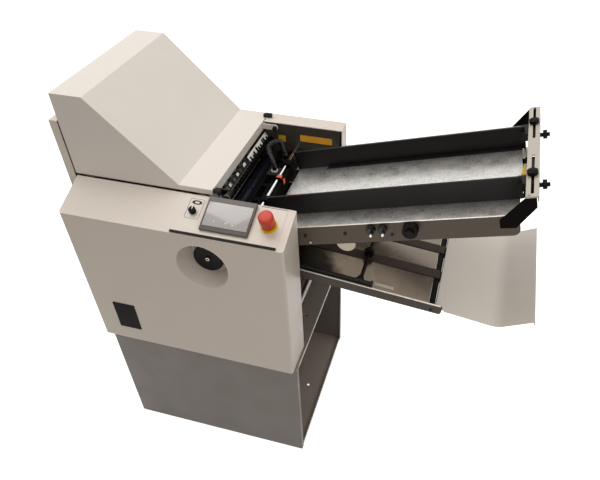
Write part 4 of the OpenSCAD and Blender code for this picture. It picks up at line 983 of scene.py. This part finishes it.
@dataclass(frozen=True)
class VacuumHose:
    """The ribbed hose that loops from the suction head to the rod."""

    radius: float = 8.5
    groove: float = 1.6
    wall: float = 3.2
    pitch: float = 5.0
    sides: int = 28
    start: Point = (496.6, 366.0, 960.0)
    end: Point = (503.0, 449.0, 955.0)
    # The way the loop's upright plane runs, seen from above
    heading: Point = (-31.0, 46.0, 0.0)

    def route(self, parts: int = 40) -> list[Vector]:
        """Draws a smooth curve through the given route points.

        Args:
            parts: how many stretches there are from one route point to the next.

        Returns:
            The curve's points in machine millimetres.
        """
        dx, dy, dz = (b - a for a, b in zip(self.start, self.end))
        steps = (
            (0, 0, 0), (0, 0, 17), (-6, 6, 28), (-20, 22, 38), (-31, 46, 44), (-26, 72, 46), (-8, 90, 40),
            (dx - 1, dy - 3, dz + 19), (dx, dy, dz),
        )
        rough = [Vector(self.start) + Vector(step) for step in steps]
        ends = [rough[0] * 2 - rough[1], *rough, rough[-1] * 2 - rough[-2]]
        fine: list[Vector] = []
        for a, b, c, d in zip(ends, ends[1:], ends[2:], ends[3:]):
            for t in (j / parts for j in range(parts)):
                fine.append(0.5 * (
                    2 * b + (c - a) * t + (2 * a - 5 * b + 4 * c - d) * t * t + (3 * b - a - 3 * c + d) * t ** 3
                ))
        return [*fine, rough[-1]]

    def rows(self, total: float) -> list[Spot]:
        """Spaces the ribs along the route.

        Args:
            total: the route's length in millimetres.

        Returns:
            The distance along the route and the outer radius of every ring of points.
        """
        count = int((total - 2 * self.radius) / self.pitch)
        first = (total - count * self.pitch) / 2
        low, slope, high = self.radius - self.groove, self.radius - 0.25, self.radius
        rib = ((0.08, low), (0.2, slope), (0.32, high), (0.48, high), (0.6, slope), (0.72, low))
        ribs = [(first + (i + share) * self.pitch, r) for i in range(count) for share, r in rib]
        return [(0.0, low), *ribs, (total, low)]

    def faces(self, count: int) -> list[tuple[int, ...]]:
        """Joins the rings of points.

        Args:
            count: how many rings the outside has, and the bore too.

        Returns:
            The faces of the outside, the bore and the two ends, as point numbers.
        """
        n = self.sides
        bore = count * n
        faces: list[tuple[int, ...]] = []
        for j in range(n):
            k = (j + 1) % n
            for i in range(count - 1):
                a, b = i * n, (i + 1) * n
                faces.append((a + j, a + k, b + k, b + j))
                faces.append((bore + a + j, bore + b + j, bore + b + k, bore + a + k))
            last = (count - 1) * n
            faces.append((j, bore + j, bore + k, k))
            faces.append((last + k, bore + last + k, bore + last + j, last + j))
        return faces

    def build(self) -> None:
        """Sweeps the ribbed profile along the route and closes the bore's ends."""
        line = self.route()
        lengths = [0.0]
        for a, b in zip(line, line[1:]):
            lengths.append(lengths[-1] + (b - a).length)
        total = lengths[-1]

        def place(s: float) -> Vector:
            """Gives the point at a distance s along the route."""
            i = next((k for k in range(len(lengths) - 2) if lengths[k + 1] >= s), len(lengths) - 2)
            share = (s - lengths[i]) / (lengths[i + 1] - lengths[i])
            return line[i] + (line[i + 1] - line[i]) * min(1.0, max(0.0, share))

        rows = self.rows(total)
        side = Vector(Z_AXIS).cross(Vector(self.heading).normalized()).normalized()
        turns = [2 * math.pi * j / self.sides for j in range(self.sides)]
        points = []
        for inner in (False, True):
            for s, outer in rows:
                way = (place(min(total, s + 1.5)) - place(max(0.0, s - 1.5))).normalized()
                x = (side - way * side.dot(way)).normalized()
                y = way.cross(x)
                radius = self.radius - self.wall if inner else outer
                points += [packed(place(s) + (x * math.cos(t) + y * math.sin(t)) * radius) for t in turns]
        hose = Bench.draw("vacuum_hose_ribbed", points, [], self.faces(len(rows)))
        with Bench.whole(hose):
            Bench.outwards()
        Bench.finish(hose, Look.HOSE_PLASTIC, "buffer_rubber", stands_for=("vacuum_hose",))
        path = [packed(p) for p in line[::4]]
        length = sum((b - a).length for a, b in zip(path, path[1:]))
        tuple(path[0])
        x, y, z = self.start
        collar = Bench.lathe("hose_fitting", LEVEL, (x, y, z - 7), [
            (7.2, 0.0), (9.6, 0.3), (10.4, 1.6), (10.4, 4.6), (9.6, 6.0), (7.2, 6.4), (7.2, 0.0)], 48)
        Bench.finish(collar, Look.LABEL_WHITE, "black_metal")


# ---- small pieces


@dataclass(frozen=True)
class Sticker:
    """A plain rectangular sticker or plate on a plane, without any print."""

    name: str
    plane: Plane
    low: Spot
    high: Spot
    look: Look
    slot: str
    lift: float = 0.0
    thickness: float = 0.3
    corner: float = 2.0

    def build(self) -> None:
        """Cuts the sticker with rounded corners."""
        top = self.lift + self.thickness
        piece = Bench.block(self.name, self.plane, (*self.low, self.lift), (*self.high, top))
        Bench.round_corners(piece, self.plane, self.corner, 4)
        Bench.round_edges(piece, 0.08, 1)
        Bench.finish(piece, self.look, self.slot)


@dataclass(frozen=True)
class Strip:
    """A straight hem, bead or small block on a plane."""

    name: str
    plane: Plane
    low: Point
    high: Point
    # By default a pale hem strip: a painted highlight
    look: Look = Look.HEM_STEEL
    slot: str = "beige_paint"
    edge: float = 0.3

    def build(self) -> None:
        """Cuts the strip and breaks its edges."""
        piece = Bench.block(self.name, self.plane, self.low, self.high)
        Bench.round_edges(piece, self.edge, 2)
        Bench.finish(piece, self.look, self.slot)


STICKERS = (
    Sticker("far_wall_yellow", FAR_WALL, (462.0, 972.0), (486.0, 994.0), Look.LABEL_YELLOW, "dark_frame"),
    Sticker("far_wall_orange", FAR_WALL, (534.0, 982.0), (638.0, 1004.0), Look.LABEL_ORANGE, "dark_frame"),
    Sticker("bed_label_1", RAILS, (423.0, 146.0), (479.0, 157.0), Look.LABEL_WHITE, "brown_steel", -10.9, 0.7),
    Sticker("bed_label_2", RAILS, (322.0, 146.0), (386.0, 155.0), Look.LABEL_WHITE, "brown_steel", -10.9, 0.7),
)

# Hems and rims drawn in light colours as painted highlights along their edges, and the seam beside one
HEMS = (
    Strip("cover_hem", CONSOLE, (549.0, 123.0, -0.4), (643.0, 125.2, 0.9), Look.HOOD_PAINT),
    Strip("cover_hem_slot", CONSOLE, (556.0, 121.4, -0.2), (628.0, 122.4, 0.25), Look.SEAM_SHADE, edge=0.1),
    Strip("rear_cover_hem", LEVEL, (419.0, 507.4, 1033.8), (669.0, 509.6, 1036.6), Look.HOOD_PAINT),
    Strip("near_plate_hem", TABLE, (31.0, 119.2, -1.6), (668.0, 122.6, 0.5), slot="brown_steel"),
    Strip("far_plate_hem", TABLE, (134.0, 543.4, -1.6), (668.0, 546.8, 0.5), slot="brown_steel"),
    Strip("near_rail_hem", RAILS, (2.0, 119.4, -1.4), (616.0, 123.4, 0.5), slot="brown_steel"),
    Strip("far_rail_hem", RAILS, (2.0, 502.4, -1.4), (616.0, 506.6, 0.5), slot="brown_steel"),
    Strip("shelf_hem", LEVEL, (655.2, 40.0, 463.6), (657.2, 555.0, 467.6)),
    Strip("tray_lip", LEVEL, (1036.3, 124.0, 742.0), (1038.4, 503.0, 757.5), Look.BLACK_STEEL, "black_metal"),
)


def valve_lines() -> Iterator[Strip]:
    """Draws the printed outline round the air valves.

    Returns:
        Its four lines.
    """
    left, right, low, high, line = 291.0, 365.0, -41.0, -3.0, 0.9
    for name, u0, v0, u1, v1 in (
        ("left", left, low, left + line, high),
        ("right", right, low, right + line, high),
        ("low", left + line, low, right, low + line),
        ("high", left + line, high - line, right, high),
    ):
        yield Strip(f"valve_line_{name}", NEAR_PLATE, (u0, v0, -0.4), (u1, v1, 0.25), Look.INK_BLACK, edge=0.05)


def bar_tabs() -> Iterator[Strip]:
    """Bends the crossbar's two black tabs.

    Returns:
        Each tab with the lip turned up at its end.
    """
    root, end, foot, sheet, lip = 677.5, 709.9, 19.5, 21.3, 30.0
    for side, y0, y1 in (("near", 158.0, 184.0), ("far", 308.0, 336.0)):
        for part, low, high in (
            ("tab", (root, y0, foot), (end, y1, sheet)),
            ("lip", (end - 0.7, y0, sheet), (end, y1, lip)),
        ):
            yield Strip(f"bar_{part}_{side}", TABLE, low, high, Look.BRACKET_BLACK, "black_metal")


def strip_blocks() -> Iterator[Strip]:
    """Sets out the small blocks on the perforated strip.

    Returns:
        The white blocks, then the black fingers over the widest one.
    """
    for name, u0, y0, u1, y1, top in (
        ("tooth_1", 5.0, 203.0, 14.0, 213.0, 1.2),
        ("tooth_2", 5.0, 257.0, 13.0, 269.0, 1.2),
        ("tooth_3", 4.0, 308.0, 13.0, 323.0, 1.2),
        ("comb_back", 2.0, 348.0, 19.0, 502.0, 0.8),
    ):
        yield Strip(f"strip_{name}", STRIP_FACE, (u0, y0, 0.0), (u1, y1, top), Look.STRIP_WHITE, "galvanised")
    for i in range(9):
        # Each finger's place, foot and width differ a little
        y = 356.0 + 16.0 * i + 3.0 * math.sin(2.4 * i)
        foot = 9.0 + 4.0 * math.sin(1.7 * i)
        width = 7.0 + 2.0 * math.sin(3.1 * i)
        yield Strip(
            f"comb_tooth_{i + 1}", STRIP_FACE, (foot, y, 0.8), (20.5, y + width, 3.0),
            Look.BRACKET_BLACK, "black_metal")


@dataclass(frozen=True)
class Tongue:
    """The orange separator tongue, hooked over the feeder rod."""

    rod: Spot = (524.0, 960.0)
    low_y: float = 315.6
    width: float = 12.8
    thickness: float = 1.6

    def build(self) -> None:
        """Bends a flat strip over the rod's block and down towards the pile."""
        x, z = self.rod
        t = self.thickness
        outline = (
            (-3.0, 9.6), (2.0, 10.4), (11.0, 9.4), (18.6, 1.0), (19.2, -14.0),
            (17.5, -14.0), (17.3, 0.6), (10.4, 9.4 - t), (2.0, 10.3 - t), (-3.0, 8.2),
        )
        ring = [packed((x + across, self.low_y, z + up)) for across, up in outline]
        piece = Bench.draw("separator_tongue", ring, [], [tuple(range(len(ring)))])
        with Bench.whole(piece):
            bpy.ops.mesh.extrude_region_move(TRANSFORM_OT_translate={"value": (0.0, self.width * MM, 0.0)})
            Bench.outwards()
        Bench.round_edges(piece, 0.3, 2, 60.0)
        Bench.finish(piece, Look.TONGUE_ORANGE, "black_metal")


@dataclass(frozen=True)
class TableTrim:
    """Small pieces on the feed table: valve nubs, lug face, holes, plugs, painted shade on the hood's ear,
    wedge and pin.
    """

    valves: tuple[float, ...] = (309.0, 340.0)
    lug: Spot = (229.5, -60.0)
    lug_r: float = 25.6
    holes: tuple[Spot, ...] = ((122.0, -28.0), (235.0, -28.0), (360.0, -38.0))
    plugs: tuple[float, ...] = (289.0, 359.0, 437.0)
    wedge_end: float = 338.5
    pin: Point = (674.0, 344.0, 0.0)

    def build(self) -> None:
        """Builds the trim."""
        for i, (u, body) in enumerate(zip(self.valves, ("left_valve", "right_valve"))):
            nub = Bench.lathe(f"valve_nub_{i + 1}", VALVE_FACE, (u + 4.0, -19.0, 23.0), [
                (0.0, 0.0), (3.6, 0.0), (3.6, 3.0), (2.6, 4.0), (2.6, 6.0), (1.8, 6.8), (0.0, 7.0)], 32)
            Bench.finish(nub, Look.CHROME, "valve_plastic", body)
            ring = Bench.lathe(f"valve_ring_{i + 1}", VALVE_FACE, (u, -17.0, 9.6), [
                (7.4, 0.0), (7.4, 0.8), (9.0, 0.8), (9.0, 0.0), (7.4, 0.0)], 48)
            Bench.finish(ring, Look.SCREW_STEEL, "valve_plastic", body)
        u, h = self.lug
        lug = Bench.rod("lug_face", VALVE_FACE, (u, h, -0.9), self.lug_r, 0.6, 72)
        with Bench.whole(lug):
            bpy.ops.mesh.bisect(
                plane_co=VALVE_FACE.at(u, h - 0.2, 0.0), plane_no=VALVE_FACE.matrix().to_3x3().col[1],
                clear_outer=True, use_fill=True)
        Bench.finish(lug, Look.LUG_STEEL, "brown_steel")
        for i, (u, h) in enumerate(self.holes):
            hole = Bench.rod(f"plate_hole_{i + 1}", VALVE_FACE, (u, h, -0.9), 4.0, 3.6, 32)
            Bench.finish(hole, Look.INK_BLACK, "brown_steel")
        for i, u in enumerate(self.plugs):
            plug = Bench.rod(f"sheet_plug_{i + 1}", TABLE, (u, 163.0, -3.0), 4.4, 0.9, 32)
            Bench.finish(plug, Look.INK_BLACK, "galvanised")
        self.near_ear()
        self.outer_end()

    @staticmethod
    def near_ear() -> None:
        """Covers the hood's near ear in black as painted shade, where the ear lies in shade under the buffer.
        """
        arm = Bench.block("near_ear_painted_shade", LEVEL, (415.0, 137.6, 1012.6), (457.0, 141.4, 1031.4))
        Bench.round_edges(arm, 0.4, 2)
        end = Bench.lathe("near_ear_end_painted_shade", EAR_FACE, (0.0, 0.0, 0.0), [
            (4.6, 0.0), (9.4, 0.0), (9.4, 3.8), (4.6, 3.8), (4.6, 0.0)], 48)
        # Both black pieces are painted shade over the hood-coloured ear
        for piece in (arm, end):
            Bench.finish(piece, Look.BLACK_STEEL, "black_metal", "hood_lid")

    def outer_end(self) -> None:
        """Makes the yellow wedge and the pin at the table's outer end."""
        wedge = Bench.block("end_wedge", TABLE, (668.5, 283.0, 0.1), (679.5, self.wedge_end, 6.5))
        tip = TABLE.at(674.0, self.wedge_end, 3.3)
        with Bench.picked(wedge, "FACE", lambda place, way: (place - tip).length < 2 * MM):
            foot = TABLE.at(677.0, self.wedge_end, 0.1)
            bpy.ops.transform.resize(value=(0.35, 1.0, 0.35), center_override=foot)
        Bench.round_edges(wedge, 0.8, 2)
        Bench.finish(wedge, Look.WEDGE_YELLOW, "galvanised")
        base = Bench.lathe("end_pin_base", TABLE, self.pin, [
            (0.0, 0.1), (4.5, 0.1), (4.5, 13.0), (3.8, 14.0), (0.0, 14.0)], 32)
        Bench.finish(base, Look.BRACKET_BLACK, "black_metal")
        pin = Bench.lathe("end_pin", TABLE, self.pin, [
            (0.0, 13.5), (3.0, 13.5), (3.0, 38.0), (2.2, 41.0), (0.0, 42.0)], 32)
        Bench.finish(pin, Look.LUG_STEEL, "bright_steel")


@dataclass(frozen=True)
class BarKnobs:
    """The round clamp knobs on the crossbar and the hubs of the star knobs at its front."""

    bar_u: float = 699.0
    bar_top: float = 50.0
    front_u: float = 730.0
    star_h: float = 34.0
    clamp_r: float = 12.8

    def build(self) -> None:
        """Builds both pairs."""
        for side, y in (("near", 206.5), ("far", 455.5)):
            self.clamp(side, (self.bar_u, y, self.bar_top))
        for side, y in (("near", 185.0), ("far", 419.5)):
            hub = Bench.lathe(f"{side}_star_hub", TABLE_END, (y, self.star_h, self.front_u), [
                (0.0, -1.0), (5.2, -1.0), (5.2, 5.6), (4.4, 6.6), (0.0, 6.8)], 40)
            Bench.finish(hub, Look.BLACK_PLASTIC, "black_plastic", f"{side}_star")

    def clamp(self, side: str, foot: Point) -> None:
        """Makes one clamp knob on the bar: a fluted disc with a crown and a stem.

        Args:
            side: near or far.
            foot: where it stands on the bar, on the table's plane.
        """
        r, (u, y, h), body = self.clamp_r, foot, f"{side}_clamp"
        head = Bench.rod(f"{body}_disc", TABLE, (u, y, h + 3.2), r, 8.4, 72)
        Bench.flutes(head, TABLE, foot, 0.7)
        Bench.round_edges(head, 0.9, 3, 50.0)
        Bench.finish(head, Look.BLACK_PLASTIC, "black_plastic", body, (f"{body}_knob",))
        crown = Bench.lathe(f"{body}_crown", TABLE, foot, [
            (0.0, 11.4), (r - 3.0, 11.4), (r - 4.2, 12.4), (0.0, 13.0)], 72)
        Bench.finish(crown, Look.BLACK_PLASTIC, "black_plastic", body)
        stem = Bench.lathe(f"{body}_stem", TABLE, foot, [
            (0.0, -15.2), (3.0, -15.2), (3.0, 0.3), (7.0, 0.3), (7.0, 3.4), (0.0, 3.4)], 48)
        Bench.finish(stem, Look.BLACK_SCREW, "black_plastic", body)


# ---- stage


@dataclass(frozen=True)
class PhotoCamera:
    """The camera fitted to the photograph's edges."""

    place: Point = (1055.3, -1009.1, 1920.0)
    focal_px: float = 576.09
    centre_px: Spot = (325.88, 263.67)
    frame_px: Spot = (600.0, 480.0)
    yaw: float = 0.283868
    pitch: float = -0.739788
    roll: float = -0.013433
    sensor: float = 36.0

    def build(self) -> None:
        """Places the camera."""
        yaw, pitch, roll = self.yaw, self.pitch, self.roll
        forward = Vector((
            -math.sin(yaw) * math.cos(pitch), math.cos(yaw) * math.cos(pitch), math.sin(pitch),
        ))
        level = Vector((math.cos(yaw), math.sin(yaw), 0.0))
        upright = level.cross(forward)
        right = level * math.cos(roll) + upright * math.sin(roll)
        up = upright * math.cos(roll) - level * math.sin(roll)
        data = bpy.data.cameras.new("photo_camera")
        camera = bpy.data.objects.new("photo_camera", data)
        bpy.context.scene.collection.objects.link(camera)
        camera.matrix_world = placed(right, up, -forward, packed(self.place))
        width, height = self.frame_px
        data.sensor_width = self.sensor
        data.lens = self.focal_px * self.sensor / width
        data.shift_x = -(self.centre_px[0] - width / 2) / width
        data.shift_y = (self.centre_px[1] - height / 2) / width
        data.clip_start, data.clip_end = 0.01, 50.0
        bpy.context.scene.camera = camera


@dataclass(frozen=True)
class Studio:
    """Floor, sky and soft lamps."""

    sky_top: float = 0.80
    sky_low: float = 0.15
    # Each lamp's name, place, aim and side in metres, and its power in watts
    lamps: tuple[tuple[str, Point, Point, float, float], ...] = (
        ("key_lamp", (-0.7, 0.5, 3.5), (0.0, 0.0, 0.9), 2.2, 33.0),
        ("front_lamp", (1.3, -1.8, 1.1), (0.2, -0.2, 0.8), 0.9, 4.6),
        ("side_lamp", (2.4, 0.2, 2.5), (0.1, 0.0, 0.95), 1.0, 8.0),
    )

    def build(self) -> None:
        """Builds the stage."""
        self.floor()
        self.sky()
        for lamp in self.lamps:
            self.hang(*lamp)
        bpy.context.scene.view_settings.view_transform = "Standard"

    @staticmethod
    def seen(tree: Tree, also: str) -> Socket:
        """Picks out some kinds of ray.

        Args:
            tree: the node tree.
            also: the light path's output for the second kind.

        Returns:
            A value of 1 for rays from the camera and of that kind.
        """
        rays = add(tree, "ShaderNodeLightPath").outputs
        both = {0: rays["Is Camera Ray"], 1: rays[also]}
        return add(tree, "ShaderNodeMath", both, operation="MAXIMUM").outputs[0]

    def floor(self) -> None:
        """Lays a large pale floor that looks white to the camera and keeps the shadow."""
        Bench.clear()
        bpy.ops.mesh.primitive_plane_add(size=30.0, location=(0, 0, 0))
        floor = bpy.context.object
        floor.name = "studio_floor"
        made = bpy.data.materials.new("studio_floor_paper")
        made.use_nodes = True
        tree = made.node_tree
        tree.nodes.clear()
        seen = self.seen(tree, "Is Glossy Ray")
        dull = add(tree, "ShaderNodeBsdfDiffuse", {"Color": linear("#8d877f")}).outputs[0]
        catcher = add(tree, "ShaderNodeBsdfDiffuse", {"Color": linear("#ffffff")}).outputs[0]
        glow = add(tree, "ShaderNodeEmission", {"Color": linear("#ffffff"), "Strength": 0.72}).outputs[0]
        white = add(tree, "ShaderNodeAddShader", {0: catcher, 1: glow}).outputs[0]
        mix = add(tree, "ShaderNodeMixShader", {0: seen, 1: dull, 2: white})
        add(tree, "ShaderNodeOutputMaterial", {"Surface": mix.outputs[0]})
        floor.data.materials.append(made)

    def sky(self) -> None:
        """Lights the object from above more than from the side, on a white background."""
        world = bpy.data.worlds.new("studio_sky")
        world.use_nodes = True
        tree = world.node_tree
        tree.nodes.clear()
        way = add(tree, "ShaderNodeTexCoord").outputs["Generated"]
        height = add(tree, "ShaderNodeSeparateXYZ", {"Vector": way}).outputs["Z"]

        def glow(colour: str, strength: Value) -> Socket:
            """Gives one background light."""
            inputs = {"Color": linear(colour), "Strength": strength}
            return add(tree, "ShaderNodeBackground", inputs).outputs[0]

        def rising(from_min: float, from_max: float, to_min: float, to_max: float) -> Socket:
            """Gives a strength that grows with the height of the direction."""
            return add(tree, "ShaderNodeMapRange", {
                "Value": height, "From Min": from_min, "From Max": from_max, "To Min": to_min, "To Max": to_max,
            }).outputs["Result"]

        light = glow("#fbf6f0", rising(-0.1, 1.0, self.sky_low, self.sky_top))
        mirrored = glow("#ffffff", rising(-0.2, 0.75, 0.25, 1.3))
        glossy = add(tree, "ShaderNodeLightPath").outputs["Is Glossy Ray"]
        lit = add(tree, "ShaderNodeMixShader", {0: glossy, 1: light, 2: mirrored}).outputs[0]
        seen = self.seen(tree, "Is Transmission Ray")
        mix = add(tree, "ShaderNodeMixShader", {0: seen, 1: lit, 2: glow("#ffffff", 1.0)})
        add(tree, "ShaderNodeOutputWorld", {"Surface": mix.outputs[0]})
        bpy.context.scene.world = world

    @staticmethod
    def hang(name: str, place: Point, aim: Point, size: float, power: float) -> None:
        """Hangs one soft square lamp.

        Args:
            name: the lamp's name.
            place: where it hangs, in metres.
            aim: the point it looks at, in metres.
            size: side of the square in metres.
            power: power in watts.
        """
        data = bpy.data.lights.new(name, "AREA")
        data.shape = "SQUARE"
        data.size = size
        data.energy = power
        lamp = bpy.data.objects.new(name, data)
        bpy.context.scene.collection.objects.link(lamp)
        way = Vector(aim) - Vector(place)
        lamp.matrix_world = Matrix.Translation(place) @ way.to_track_quat("-Z", "Y").to_matrix().to_4x4()


# ---- assembly


def main() -> None:
    """Builds the machine's looks in order."""
    logging.basicConfig(level=logging.INFO, format="%(message)s")
    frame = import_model()
    PhotoCamera().build()
    VacuumHose().build()
    for dressing in DRESSINGS:
        dressing.apply(frame["nodes"])
    Console().build()
    Handwheel().build()
    strips = (*HEMS, *valve_lines(), *bar_tabs(), *strip_blocks())
    for small in (*STICKERS, *strips, Tongue(), TableTrim(), BarKnobs()):
        small.build()
    Studio().build()


if __name__ == "__main__":
    main()
